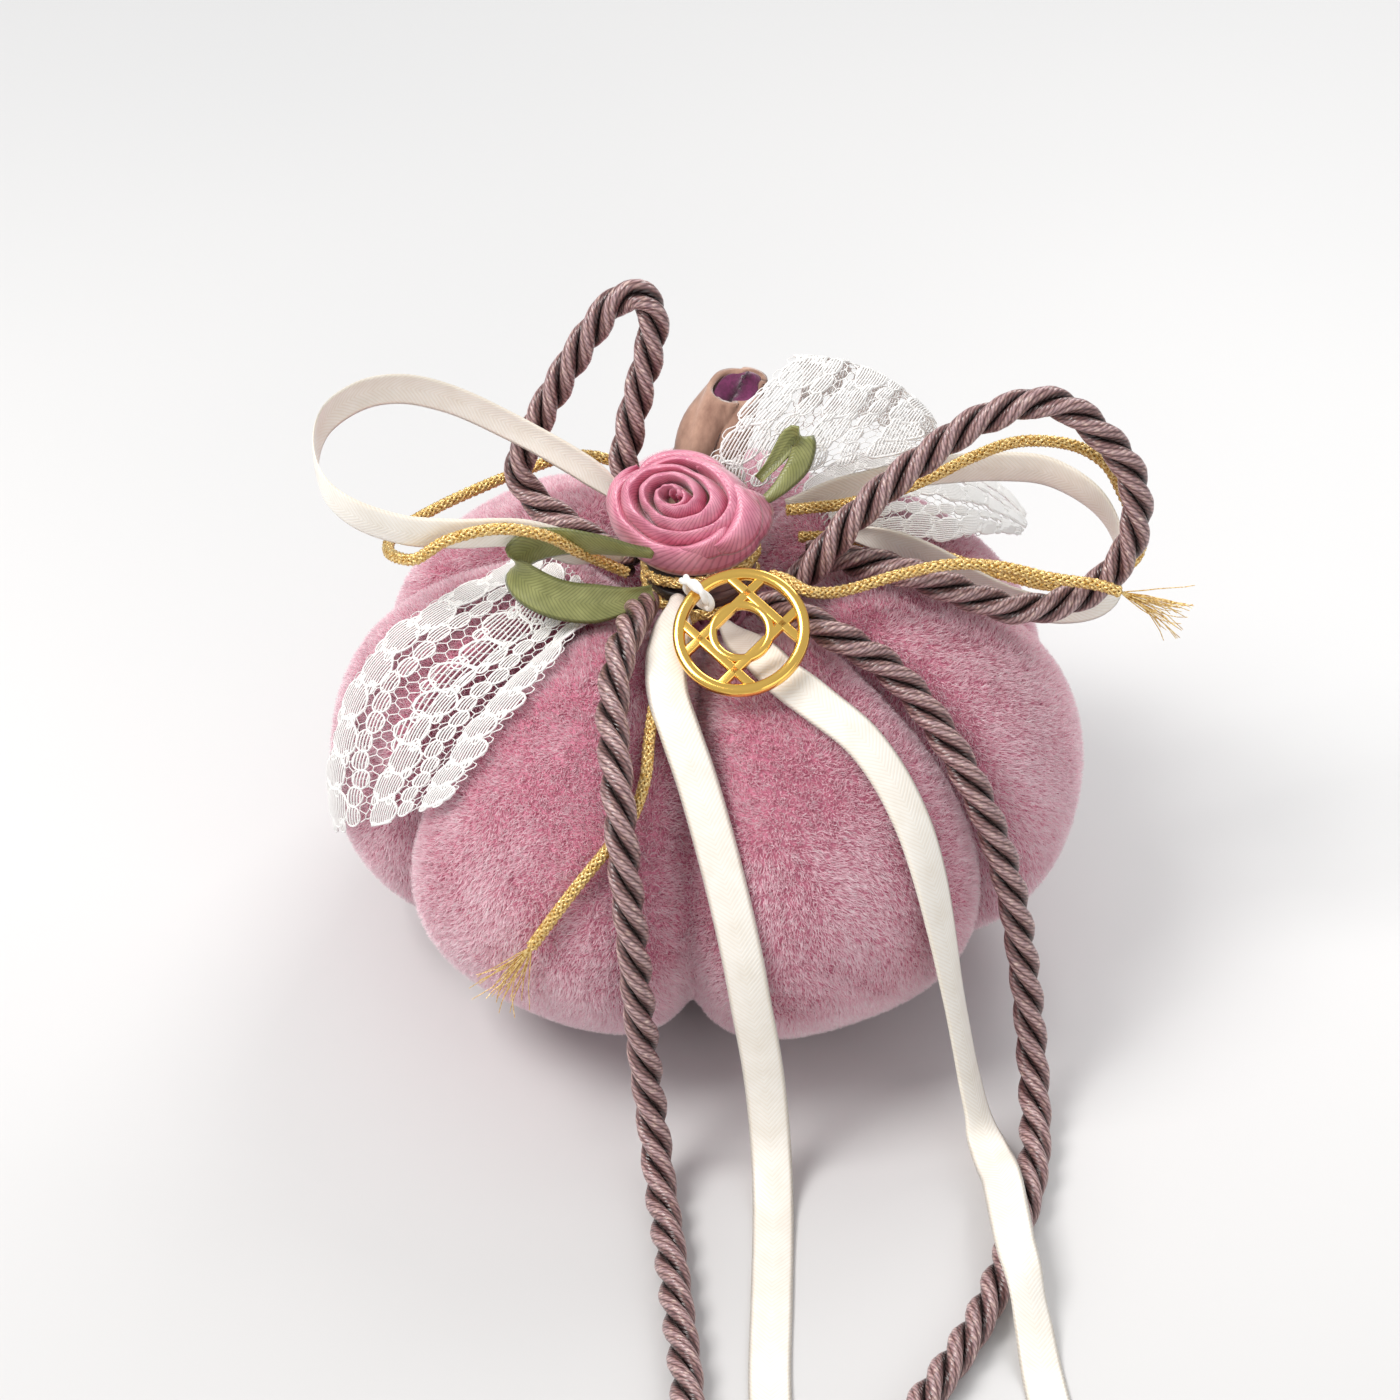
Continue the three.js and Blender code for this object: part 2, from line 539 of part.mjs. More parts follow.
function makeLace() {
  add("lace_tail_left", laceStrip(laceOnSkin(LACE_LEFT), 5, 14), laceWhite);
  add("lace_tail_right", laceStrip(laceOnSkin(LACE_RIGHT), 5, 12), laceWhite);
  add("lace_loop", laceStrip(laceInAir(LACE_LOOP), 5, 14, LACE_LOOP_CROWN), laceWhite);
}

function makeCords() {
  for (const [name, { points, steps }] of Object.entries(ROPES)) {
    add(name, cordAlong(points, ROPE, steps, 10), ropeMauve);
  }
  for (const [name, { points, steps }] of Object.entries(BRAIDS)) {
    add(name, cordAlong(points, BRAID, steps, 8), braidGold);
  }
  for (const [name, { points, sides, steps }] of Object.entries(RIBBONS)) {
    add(name, ribbonAlong(points, sides, steps), satinCream);
  }
}

/** Puts a shape made along +Z at the end of a route, pointing on the way the route goes. */
function atEndOf(points, shape, gap) {
  const curve = curveThrough(points);
  const heading = curve.getTangent(1);
  const turn = new THREE.Quaternion().setFromUnitVectors(new THREE.Vector3(0, 0, 1), heading);
  const place = vector(points[points.length - 1]).addScaledVector(heading, gap);
  return shape.applyQuaternion(turn).translate(place.x, place.y, place.z);
}

/** A knot closes each rope's end, and the braid's threads fan out at each of its ends. */
function makeCordEnds() {
  for (const hand of ["left", "right"]) {
    const knot = new THREE.SphereGeometry(1, 14, 10).scale(...ROPE_KNOT);
    knot.translate(0, 0, ROPE_KNOT[2]);
    const knotted = atEndOf(ROPES[`rope_tail_${hand}`].points, knot, GAP);
    knotted.translate(0, 0, ROPE_KNOT[1] - ROPE / 2);
    add(`rope_knot_${hand}`, closed(knotted), ropeMauve);
    const fan = new THREE.CylinderGeometry(FRAY_RADIUS, BRAID / 2, FRAY_LENGTH, 10);
    fan.scale(1, 1, FRAY_FLATNESS).rotateX(Math.PI / 2).translate(0, 0, FRAY_LENGTH / 2);
    add(`braid_fray_${hand}`, closed(atEndOf(BRAIDS[`braid_tail_${hand}`].points, fan, GAP)), braidGold);
  }
}

/** The bow's centre knot, with the ribbon rose and its two leaves sewn on top of it. */
function makeKnotAndRose() {
  const knot = new THREE.SphereGeometry(1, 20, 12).scale(...KNOT_SIZE).translate(...KNOT_PLACE);
  add("bow_knot", closed(knot), ropeMauve);
  const facing = vector(ROSE_FACING).normalize();
  const turn = new THREE.Quaternion().setFromUnitVectors(new THREE.Vector3(0, 1, 0), facing);
  const outline = ROSE_PROFILE.map(
    ([r, h]) => new THREE.Vector2(r * ROSE_RADIUS, (h - 0.5) * ROSE_DEPTH),
  );
  const rose = new THREE.LatheGeometry(outline, 24).applyQuaternion(turn);
  add("ribbon_rose", closed(rose.translate(...ROSE_PLACE)), satinRose);
  for (const [name, { root, tip, width, facing: towards }] of Object.entries(LEAVES)) {
    const long = vector(tip).sub(vector(root));
    const face = vector(towards);
    const up = new THREE.Vector3().crossVectors(face, long).normalize();
    const out = new THREE.Vector3().crossVectors(long, up).normalize();
    const basis = new THREE.Matrix4().makeBasis(long.clone().normalize(), up, out);
    const leaf = new THREE.SphereGeometry(1, 14, 10);
    leaf.scale(long.length() / 2, width / 2, LEAF_THICKNESS / 2).applyMatrix4(basis);
    const middle = vector(root).add(vector(tip)).multiplyScalar(0.5);
    add(name, closed(leaf.translate(middle.x, middle.y, middle.z)), satinOlive);
  }
}

/**
 * The charm: a round rim filled with crossing bars and a small ring, hung by its rim in a loop of
 * white cord. The loop turns about the charm's face direction and the charm flips inside the loop.
 */
function makeCharm() {
  const eyelet = vector(CHARM_EYELET);
  const middle = vector(CHARM_MIDDLE);
  const rimRadius = CHARM_RADIUS - CHARM_RIM / 2;
  const outward = eyelet.clone().sub(middle).normalize();
  const facing = vector(CHARM_FACING);
  facing.addScaledVector(outward, -facing.dot(outward)).normalize();
  const tangent = new THREE.Vector3().crossVectors(facing, outward);
  middle.copy(eyelet).addScaledVector(outward, -rimRadius);
  const basis = new THREE.Matrix4().makeBasis(outward, tangent, facing).setPosition(middle);

  const ring = (radius, thick, around, turns) => asManifold(
    closed(new THREE.TorusGeometry(radius, thick / 2, around, turns)),
  );
  const reach = 2 * rimRadius;
  const bar = (offset, crosswise) => {
    const length = Math.sqrt(reach * reach - 4 * offset * offset);
    const size = crosswise ? [CHARM_BAR, length, CHARM_BAR] : [length, CHARM_BAR, CHARM_BAR];
    const shift = crosswise ? [offset, 0, 0] : [0, offset, 0];
    return asManifold(closed(new THREE.BoxGeometry(...size).translate(...shift)));
  };
  let charm = ring(rimRadius, CHARM_RIM, 8, 30).add(ring(CHARM_INNER_RING, CHARM_BAR, 6, 16));
  for (const sign of [-1, 1]) {
    charm = charm.add(bar(sign * CHARM_CROSS_BARS, true)).add(bar(sign * CHARM_LONG_BARS, false));
  }
  add("charm", closed(asGeometry(charm).applyMatrix4(basis)), brassGold);

  const loopRadius = CHARM_RIM / 2 + LOOP_PLAY + CHARM_CORD / 2;
  const loop = new THREE.TorusGeometry(loopRadius, CHARM_CORD / 2, 8, 20);
  const upright = new THREE.Matrix4().makeBasis(outward, facing, tangent.clone().negate());
  loop.applyMatrix4(upright.setPosition(eyelet));
  add("charm_loop", closed(loop), cordWhite);

  const root = vector(CHARM_TIE_ROOT);
  const back = root.clone().sub(eyelet).normalize();
  const near = eyelet.clone().addScaledVector(back, loopRadius + CHARM_CORD / 2 + GAP * 1.5);
  add("charm_tie", cordAlong([near.toArray(), root.toArray()], CHARM_CORD, 2, 8), cordWhite);
}

makePillow();
makeThreads();
makeGatherThread();
makeStem();
makeLace();
makeCords();
makeCordEnds();
makeKnotAndRose();
makeCharm();

export default pillow;
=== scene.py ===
# %% [markdown]
# # A velvet ring bearer pillow with a bow
#
# The pillow is a small stuffed velvet pumpkin. A bow of lace, satin ribbon, twisted rope and gold
# braid is tied round its suede stem, with a ribbon rose and a gold charm on top. The bodies and
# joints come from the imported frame; this script makes the surfaces that the eye sees.

# %% Load the frame
import math

import bmesh
import bpy
import numpy as np
from mathutils import Matrix, Vector


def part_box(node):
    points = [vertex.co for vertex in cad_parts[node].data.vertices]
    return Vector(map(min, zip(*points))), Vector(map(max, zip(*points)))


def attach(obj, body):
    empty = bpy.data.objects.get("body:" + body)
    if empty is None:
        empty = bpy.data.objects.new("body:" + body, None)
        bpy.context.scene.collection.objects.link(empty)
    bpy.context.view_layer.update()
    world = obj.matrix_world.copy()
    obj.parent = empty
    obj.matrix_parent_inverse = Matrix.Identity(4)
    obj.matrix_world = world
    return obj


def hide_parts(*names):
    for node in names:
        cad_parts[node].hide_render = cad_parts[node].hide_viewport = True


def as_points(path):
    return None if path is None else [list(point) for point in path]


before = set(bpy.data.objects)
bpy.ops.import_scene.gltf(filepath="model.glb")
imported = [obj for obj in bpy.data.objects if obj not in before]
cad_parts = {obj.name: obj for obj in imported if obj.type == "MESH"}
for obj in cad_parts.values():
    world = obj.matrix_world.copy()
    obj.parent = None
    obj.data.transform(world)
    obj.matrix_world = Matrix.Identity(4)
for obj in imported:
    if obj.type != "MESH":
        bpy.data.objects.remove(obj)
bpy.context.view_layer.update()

MM = 0.001  # one millimetre in metres; sizes below are written as so many MM
random = np.random.default_rng(27)  # seeded, so that every run gives the same pillow


def in_scene(name, data):
    """An object in the scene that shows some data."""
    new = bpy.data.objects.new(name, data)
    bpy.context.scene.collection.objects.link(new)
    return new


def made_mesh(bm, name):
    """A mesh from a bmesh, which is then freed."""
    mesh = bpy.data.meshes.new(name)
    bm.to_mesh(mesh)
    bm.free()
    return mesh


def read(items, name, kind=float):
    """A three-part value of every item, such as a vertex's place, as rows."""
    flat = np.empty(3 * len(items), kind)
    items.foreach_get(name, flat)
    return flat.reshape(-1, 3)


# %% [markdown]
# ## Camera, floor and light
#
# The camera stands in front and looks down on the bow at 39 degrees through a long lens, which keeps
# the round body from looking swollen. The light is a bright studio: a white room that fills every
# shadow, a large soft lamp high on the left and a smaller one behind that draws the velvet's sheen.

# %% Camera
LOOK_DOWN = math.radians(39)
CAMERA_PLACE = (-0.0011, -0.4016, 0.3633)

camera_data = bpy.data.cameras.new("camera")
camera_data.lens = 85
camera_data.sensor_width = 36
camera_data.clip_start = 0.01
camera = in_scene("camera", camera_data)
camera.location = CAMERA_PLACE
camera.rotation_euler = (math.pi / 2 - LOOK_DOWN, 0, 0)
bpy.context.scene.camera = camera

# %% Colours and nodes
def linear(code, alpha=1.0):
    """An sRGB hex colour as the linear values that the shader works with."""
    shares = [int(code[i : i + 2], 16) / 255 for i in (1, 3, 5)]
    return [s / 12.92 if s <= 0.04045 else ((s + 0.055) / 1.055) ** 2.4 for s in shares] + [alpha]


def node(tree, kind, values=None, links=None, **options):
    """Adds a node: options are its own settings, values its sockets' numbers, links their sources."""
    new = tree.nodes.new(kind)
    for name, option in options.items():
        setattr(new, name, option)
    for socket, value in (values or {}).items():
        new.inputs[socket].default_value = value
    for socket, source in (links or {}).items():
        tree.links.new(source, new.inputs[socket])
    return new


def blank_material(name):
    """A material with an empty node tree."""
    material = bpy.data.materials.new(name)
    material.use_nodes = True
    material.node_tree.nodes.clear()
    return material, material.node_tree


def show(tree, shader):
    """Sends a shader to the material's output."""
    node(tree, "ShaderNodeOutputMaterial", links={"Surface": shader})


def ramp(tree, source, *stops):
    """A colour ramp with (place, hex colour) stops."""
    new = node(tree, "ShaderNodeValToRGB", links={"Fac": source})
    elements = new.color_ramp.elements
    while len(elements) < len(stops):
        elements.new(0.5)
    for element, (place, code) in zip(elements, stops):
        element.position = place
        element.color = linear(code)
    return new.outputs["Color"]


MULTIPLY = {"data_type": "RGBA", "blend_type": "MULTIPLY"}

# %% Floor and studio light
floor_material, tree = blank_material("glazed_white_shelf")
coords = node(tree, "ShaderNodeTexCoord").outputs["Object"]
clouding = node(tree, "ShaderNodeTexNoise", {"Scale": 3, "Detail": 2}, {"Vector": coords})
depth = node(tree, "ShaderNodeSeparateXYZ", links={"Vector": coords}).outputs["Y"]
away = node(tree, "ShaderNodeMapRange", {"From Min": -0.3, "From Max": 0.7}, {"Value": depth})
# Painted shade: the floor is lightest round the pillow and darker towards the front and the back.
painted_shade_by_depth = ramp(tree, away.outputs[0],
             (0.1, "#d0cfcf"), (0.3, "#dfdede"), (0.45, "#dad9d9"), (0.9, "#bfbfc0"))
clouds = ramp(tree, clouding.outputs["Fac"], (0.3, "#f8f9fa"), (0.7, "#ffffff"))
cloudy = node(tree, "ShaderNodeMix", {"Factor": 1.0}, {"A": painted_shade_by_depth, "B": clouds}, **MULTIPLY)
show(tree, node(
    tree, "ShaderNodeBsdfPrincipled", {"Roughness": 0.42, "Specular IOR Level": 0.35},
    {"Base Color": cloudy.outputs["Result"]},
).outputs[0])

FLOOR_SIZE = 4.0
bm = bmesh.new()
bmesh.ops.create_grid(bm, x_segments=1, y_segments=1, size=FLOOR_SIZE / 2)
floor = in_scene("floor", made_mesh(bm, "floor"))
floor.data.materials.append(floor_material)

world = bpy.data.worlds.new("white_room")
bpy.context.scene.world = world
world.use_nodes = True
walls = world.node_tree.nodes["Background"]
walls.inputs["Color"].default_value = linear("#f3f5f6")
walls.inputs["Strength"].default_value = 0.62


def soft_lamp(name, place, aim, size, watts, code):
    """A square lamp that shines from place towards aim."""
    light = bpy.data.lights.new(name, "AREA")
    light.size = size
    light.energy = watts
    light.color = linear(code)[:3]
    lamp = in_scene(name, light)
    lamp.location = place
    lamp.rotation_euler = (Vector(aim) - Vector(place)).to_track_quat("-Z", "Y").to_euler()


soft_lamp("key_lamp", (-0.55, -0.15, 0.85), (0, 0, 0.04), 0.45, 7.5, "#fffdfa")
soft_lamp("back_lamp", (0.35, 0.75, 0.7), (0, 0, 0.05), 0.5, 4.4, "#fffefc")
soft_lamp("front_lamp", (0.45, -0.8, 0.4), (0, 0, 0.03), 0.6, 1.2, "#fff9f5")
bpy.context.scene.view_settings.view_transform = "Standard"

# %% [markdown]
# ## Smooth lines through chosen points
#
# Every cord follows a few listed points. A centripetal Catmull-Rom curve goes through them
# without the overshoot that tight loops would otherwise get, and it's then cut into even steps, so
# that a twist or a weave keeps the same pitch from one end to the other.

# %% Curves
def spline_at(points, places):
    """The centripetal Catmull-Rom curve through points, at places from 0 to 1 spread by point."""
    points = np.asarray(points, float)
    before = 2 * points[0] - points[1]
    after = 2 * points[-1] - points[-2]
    held = np.vstack([before, points, after])
    spans = len(points) - 1
    scaled = np.clip(np.asarray(places, float), 0, 1) * spans
    span = np.minimum(scaled.astype(int), spans - 1)
    share = (scaled - span)[:, None]
    p0, p1, p2, p3 = (held[span + k] for k in range(4))
    gap = [np.maximum(np.linalg.norm(b - a, axis=1), 1e-9)[:, None] ** 0.5
           for a, b in ((p0, p1), (p1, p2), (p2, p3))]
    leave = (p1 - p0) / gap[0] - (p2 - p0) / (gap[0] + gap[1]) + (p2 - p1) / gap[1]
    arrive = (p2 - p1) / gap[1] - (p3 - p1) / (gap[1] + gap[2]) + (p3 - p2) / gap[2]
    leave = leave * gap[1]
    arrive = arrive * gap[1]
    square = share * share
    cube = square * share
    return ((2 * cube - 3 * square + 1) * p1 + (cube - 2 * square + share) * leave
            + (3 * square - 2 * cube) * p2 + (cube - square) * arrive)


def along(line):
    """How far each point of a line is from its start."""
    steps = np.linalg.norm(np.diff(line, axis=0), axis=1)
    return np.concatenate([[0], np.cumsum(steps)])


def even_line(points, step):
    """The smooth curve through points given in millimetres, in metres, at an even step."""
    fine = spline_at(points, np.linspace(0, 1, 40 * len(points))) * MM
    run = along(fine)
    count = max(int(round(run[-1] / step)), 2)
    wanted = np.linspace(0, run[-1], count + 1)
    return np.column_stack([np.interp(wanted, run, fine[:, k]) for k in range(3)])


def unit(vectors):
    """Vectors made one long."""
    return vectors / np.maximum(np.linalg.norm(vectors, axis=-1, keepdims=True), 1e-12)


def headings(line):
    """The direction of a line at each of its points."""
    return unit(np.gradient(line, axis=0))


def steady_sides(line):
    """A sideways direction at each point that turns with the line but never spins round it."""
    ways = headings(line)
    side = np.cross(ways[0], (0.3, 0.2, 0.9))
    sides = []
    for way in ways:
        side = unit(side - way * side.dot(way))
        sides.append(side)
    return np.array(sides)


# %% Turning lines and grids into pieces
def placed(name, mesh, material, body="pillow_and_bow", smooth=True):
    """Puts a finished mesh in the scene with its material, on the body that it moves with."""
    piece = in_scene(name, mesh)
    mesh.materials.clear()
    mesh.materials.append(material)
    if smooth:
        mesh.shade_smooth()
    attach(piece, body)
    return piece


def thread_mesh(name, strands, radius, roundness=1, size=None):
    """Many round threads in one mesh. Each strand is (points, share of the radius at each)."""
    curve = bpy.data.curves.new(name, "CURVE")
    curve.dimensions = "3D"
    curve.bevel_depth = radius
    curve.bevel_resolution = roundness
    curve.use_fill_caps = True
    for line, widths in strands:
        spline = curve.splines.new("POLY")
        spline.points.add(len(line) - 1)
        spline.points.foreach_set("co", np.column_stack([line, np.ones(len(line))]).ravel())
        spline.points.foreach_set("radius", np.broadcast_to(widths, len(line)).astype(float))
    holder = in_scene(name, curve)
    ready = holder.evaluated_get(bpy.context.evaluated_depsgraph_get())
    mesh = bpy.data.meshes.new_from_object(ready)
    mesh.name = name
    bpy.data.objects.remove(holder)
    bpy.data.curves.remove(curve)
    if size:
        stretch_map(mesh, size)
    return mesh


def stretch_map(mesh, size):
    """Turns a map that runs from 0 to 1 into one in metres."""
    layer = mesh.uv_layers[0].data
    spread = np.empty(2 * len(layer))
    layer.foreach_get("uv", spread)
    layer.foreach_set("uv", (spread.reshape(-1, 2) * size).ravel())


def shaped_grid(name, across, lengthwise, place, round_=False, ends=False, size=(1, 1)):
    """A grid whose points go to place(u, v), with u and v from 0 to 1. Its map is in metres."""
    bm = bmesh.new()
    bm.loops.layers.uv.new("UVMap")
    bmesh.ops.create_grid(bm, x_segments=across, y_segments=lengthwise, size=0.5, calc_uvs=True)
    mesh = bpy.data.meshes.new(name)
    bm.to_mesh(mesh)
    flat = read(mesh.vertices, "co")
    mesh.vertices.foreach_set("co", place(flat[:, 0] + 0.5, flat[:, 1] + 0.5).ravel())
    stretch_map(mesh, size)
    if round_ or ends:
        bm.clear()
        bm.from_mesh(mesh)
        bmesh.ops.remove_doubles(bm, verts=bm.verts, dist=1e-7)
        if ends:
            bmesh.ops.holes_fill(bm, edges=[e for e in bm.edges if e.is_boundary], sides=0)
        bmesh.ops.recalc_face_normals(bm, faces=bm.faces)
        bm.to_mesh(mesh)
    bm.free()
    return mesh


def one_mesh(name, meshes):
    """Several meshes made into one."""
    bm = bmesh.new()
    for mesh in meshes:
        bm.from_mesh(mesh)
    return made_mesh(bm, name)


# %% [markdown]
# ## Twisted rope
#
# The rope is three-strand satin cord, 5 mm thick: each strand is a bundle of plies wrapped in fine
# viscose thread, and the three lie round each other with deep shadows between. A bump map couldn't
# give those gaps, so each strand is a tube of its own that follows a helix round the rope's line,
# and its section has a lobe for each ply.

# %% Rope routes
ROPE_ROUTES = {
    "rope_tail_left": [
        (-9.5, -8.5, 64), (-9.8, -13, 66), (-10.8, -18.5, 67.8), (-12, -23.5, 68.3),
        (-13.2, -29, 66.8), (-13.7, -35.5, 63.7), (-13.1, -43, 60.4), (-12.4, -48.8, 56),
        (-11.6, -53.5, 48.2), (-10.7, -56.8, 39.5), (-10, -58.9, 30.5), (-9.3, -60.2, 21.5),
        (-8.5, -62, 13.5), (-7.6, -65.5, 7), (-6.8, -71.5, 3.3), (-5.8, -79, 2.6), (-4.4, -92, 2.6),
        (-3, -106, 2.6), (-2.5, -120, 2.6), (-5, -134, 2.6), (-11.5, -147, 2.6), (-21, -158, 2.6),
        (-32, -166, 2.6),
    ],
    "rope_tail_right": [
        (7.5, -11, 65), (10.8, -13.8, 66.8), (14.5, -17.5, 67.4), (19.4, -20.5, 66.3),
        (25.2, -21.5, 62.9), (30.3, -24, 58.6), (34.9, -28.6, 54), (39.4, -33.4, 47.7),
        (43.1, -36.4, 39), (45.6, -39, 30.5), (47.2, -41.5, 22), (48.4, -45, 13.8), (49, -50, 7.2),
        (49, -57, 3.5), (48.2, -65, 2.6), (46, -74, 2.6), (42.9, -83.5, 2.6), (39.4, -92.4, 2.6),
        (34.6, -101.4, 2.6), (28, -112, 2.6), (21.5, -124, 2.6), (18, -138, 2.6), (19, -152, 2.6),
        (25, -164, 2.6),
    ],
    "rope_loop_right": [
        (11, -6.5, 63.5), (13.4, -6.6, 66), (16.8, -6.2, 70.2), (20.8, -4.6, 75.2), (27, -2, 80.7),
        (33, 0, 85), (38.5, 1, 89), (44, 1, 92), (48, 1, 93.3), (52.5, 1, 92.4), (57.3, 0, 88.8),
        (61.7, -1, 83.8), (63.6, -2, 78.5), (63.7, -3, 73), (61.8, -4, 67.9), (58.3, -5, 64),
        (53, -6, 61.6), (46.5, -7, 61.4), (40, -7, 63.6), (33, -6.4, 66.4), (27, -4.8, 67.6),
        (22, -3.3, 67.5), (18.5, -0.8, 66.5), (15, 1, 65.4),
    ],
    "rope_loop_back": [
        (-11, 1.5, 63.5), (-14.5, 4, 63.9), (-18.5, 6.8, 64.6), (-22, 9.2, 65.8),
        (-25.5, 11.4, 67.3), (-28, 13.2, 69.6), (-28.7, 14.3, 73), (-26.4, 16, 78.3),
        (-23.9, 17, 83), (-20, 18, 90), (-16.2, 18.8, 95.9), (-13.2, 19.2, 99.4),
        (-10.5, 19, 100.4), (-8.3, 18.4, 98.4), (-8.2, 17.6, 94.5), (-9.2, 16.5, 89.5),
        (-10.6, 15, 84.5), (-11.9, 13, 79.2), (-12.6, 10.9, 74), (-11.3, 8.6, 69.3),
    ],
}

# %% Rope material
ROPE = 5 * MM
STRANDS = 3
STRAND_RADIUS = 1.19 * MM
STRAND_OFFSET = ROPE / 2 - STRAND_RADIUS
LAY_LENGTH = 17.7 * MM  # one full turn of a strand round the rope
PLIES = 6
PLY_DEPTH = 0.09  # how deep the valleys between plies are, as a share of the strand's radius
PLY_LAY_LENGTH = 60 * MM
PLY_TURNS = (PLIES / 2 / STRAND_RADIUS, PLIES * np.pi / PLY_LAY_LENGTH, 0)
rope_satin, tree = blank_material("viscose_satin_rope_mauve")  # wound yarn: soft, streaky shine
lie = node(tree, "ShaderNodeUVMap", uv_map="UVMap").outputs[0]
WINDING = 0.42 * MM  # real windings are finer; drawn this coarse so that they show
wound = node(tree, "ShaderNodeTexWave", {"Scale": 0.31 / WINDING, "Distortion": 1.0, "Detail": 2},
             {"Vector": lie}, bands_direction="DIAGONAL")
streaks = node(tree, "ShaderNodeTexNoise", {"Scale": 1400, "Detail": 3}, {"Vector": lie})
tint = ramp(tree, streaks.outputs["Fac"], (0.3, "#a3848a"), (0.55, "#c4a3a2"), (0.75, "#f2dacd"))
# Painted shade: the colour is darkened in the valleys between plies.
around = node(tree, "ShaderNodeVectorMath", {1: PLY_TURNS}, {0: lie}, operation="DOT_PRODUCT")
ply = node(tree, "ShaderNodeMath", links={0: around.outputs["Value"]}, operation="COSINE")
crown = node(tree, "ShaderNodeMath", links={0: ply.outputs[0]}, operation="ABSOLUTE")
deep = ramp(tree, crown.outputs[0], (0.05, "#8f7a78"), (0.5, "#e6d9d6"), (0.95, "#ffffff"))
# Painted shade: the colour goes nearly black where the strands touch.
spun = node(tree, "ShaderNodeVectorMath", {1: (1 / STRAND_RADIUS, 0, 0)}, {0: lie},
            operation="DOT_PRODUCT")  # 0 on a strand's crown and pi where it touches the others
facing = node(tree, "ShaderNodeMath", links={0: spun.outputs["Value"]}, operation="COSINE")
open_ = node(tree, "ShaderNodeMath", {1: 0.5, 2: 0.5}, {0: facing.outputs[0]},
             operation="MULTIPLY_ADD")
gap = ramp(tree, open_.outputs[0], (0.38, "#2c1c1e"), (0.66, "#b09a98"), (0.93, "#ffffff"))
# The winding stripes are partly the thread's own pattern and partly painted shade in the grooves between
# turns.
threads = ramp(tree, wound.outputs["Fac"], (0.1, "#7a6866"), (0.6, "#ffffff"))
for strength, shadow in ((1.0, deep), (1.0, gap), (0.6, threads)):
    darker = node(tree, "ShaderNodeMix", {"Factor": strength}, {"A": tint, "B": shadow}, **MULTIPLY)
    tint = darker.outputs["Result"]
bump = node(tree, "ShaderNodeBump", {"Strength": 0.5, "Distance": 0.12 * MM},
            {"Height": wound.outputs["Fac"]})
show(tree, node(
    tree, "ShaderNodeBsdfPrincipled",
    {"Roughness": 0.3, "Anisotropic": 0.4, "Sheen Weight": 0.15, "Sheen Roughness": 0.4,
     "Sheen Tint": linear("#e8cfc8"), "Specular IOR Level": 0.65},
    {"Base Color": tint, "Normal": bump.outputs[0]},
).outputs[0])

# %% Ropes
ROPE_STEP = 0.55 * MM
THIN_END = 1.2 * MM  # a cut end closes over this length


def strand_mesh(name, line, phase):
    """One strand of the rope that follows a line in even steps."""
    ways = headings(line)
    sides = steady_sides(line)
    ups = np.cross(ways, sides)
    run = along(line)
    turn = (-2 * np.pi * run / LAY_LENGTH + phase)[:, None]
    outward = np.cos(turn) * sides + np.sin(turn) * ups
    middle = line + STRAND_OFFSET * outward
    strand_ways = headings(middle)
    outward = unit(outward - strand_ways * (outward * strand_ways).sum(1, keepdims=True))
    flank = np.cross(strand_ways, outward)
    closing = np.minimum(1, np.minimum(run, run[-1] - run) / THIN_END * 0.3 + 0.8)

    def place(u, v):
        row = np.rint(v * (len(line) - 1)).astype(int)
        round_ = 2 * np.pi * u
        ply = round_ + 2 * np.pi * run[row] / PLY_LAY_LENGTH
        radius = STRAND_RADIUS * (1 - PLY_DEPTH + PLY_DEPTH * np.abs(np.cos(PLIES / 2 * ply)) ** 0.7)
        radius = (radius * closing[row])[:, None]
        out = np.cos(round_)[:, None] * outward[row]
        return middle[row] + radius * (out + np.sin(round_)[:, None] * flank[row])

    size = (2 * np.pi * STRAND_RADIUS, run[-1])
    return shaped_grid(name, 24, len(line) - 1, place, round_=True, ends=True, size=size)


def rope_piece(name, points):
    """A whole rope on its route, with the line that it follows and its length."""
    line = even_line(points, ROPE_STEP)
    strands = [strand_mesh(f"{name}_{k}", line, 2 * np.pi * k / STRANDS) for k in range(STRANDS)]
    piece = placed(name, one_mesh(name, strands), rope_satin)
    piece.name = f"{name}_twisted"
    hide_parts(name)
    length = along(line)[-1]
    print(f"{name}: {length / MM:.0f} mm of rope")
    return piece, line, length


ropes = {name: rope_piece(name, points) for name, points in ROPE_ROUTES.items()}

# %% [markdown]
# ## Rope end knots
#
# Each rope tail is finished with a knot, which keeps the strands from unlaying. It's drawn as three
# wavy loops of fat cord, each tilted its own way, which together make a small ball.

# %% Rope knots
KNOT_FLOOR = 1.45 * MM  # the lowest that the knot's cord is drawn


def ball_of_rope(name, middle, heading, half):
    """A tight knot: a fat cord wound back and forth into the shape of a ball."""
    way = Vector(heading).normalized()
    turn = Vector((0, 0, 1)).rotation_difference(way).to_matrix()
    swing = 2 * np.pi * np.linspace(0, 1, 260)
    loops = []
    for tilt in (0.0, 1.05, 2.1):
        ring = np.column_stack([np.cos(swing), np.sin(swing) * 0.92, 0.42 * np.sin(2 * swing + tilt)])
        spin = np.array(Matrix.Rotation(tilt, 3, "X") @ Matrix.Rotation(tilt * 1.7, 3, "Y"))
        line = (ring @ spin.T) * half * 0.66 @ np.array(turn).T + middle
        line[:, 2] = np.maximum(line[:, 2], KNOT_FLOOR)
        loops.append((line, 1.0))
    size = (2 * np.pi * STRAND_RADIUS, half * 9)
    return thread_mesh(name, loops, half * 0.36, roundness=4, size=size)


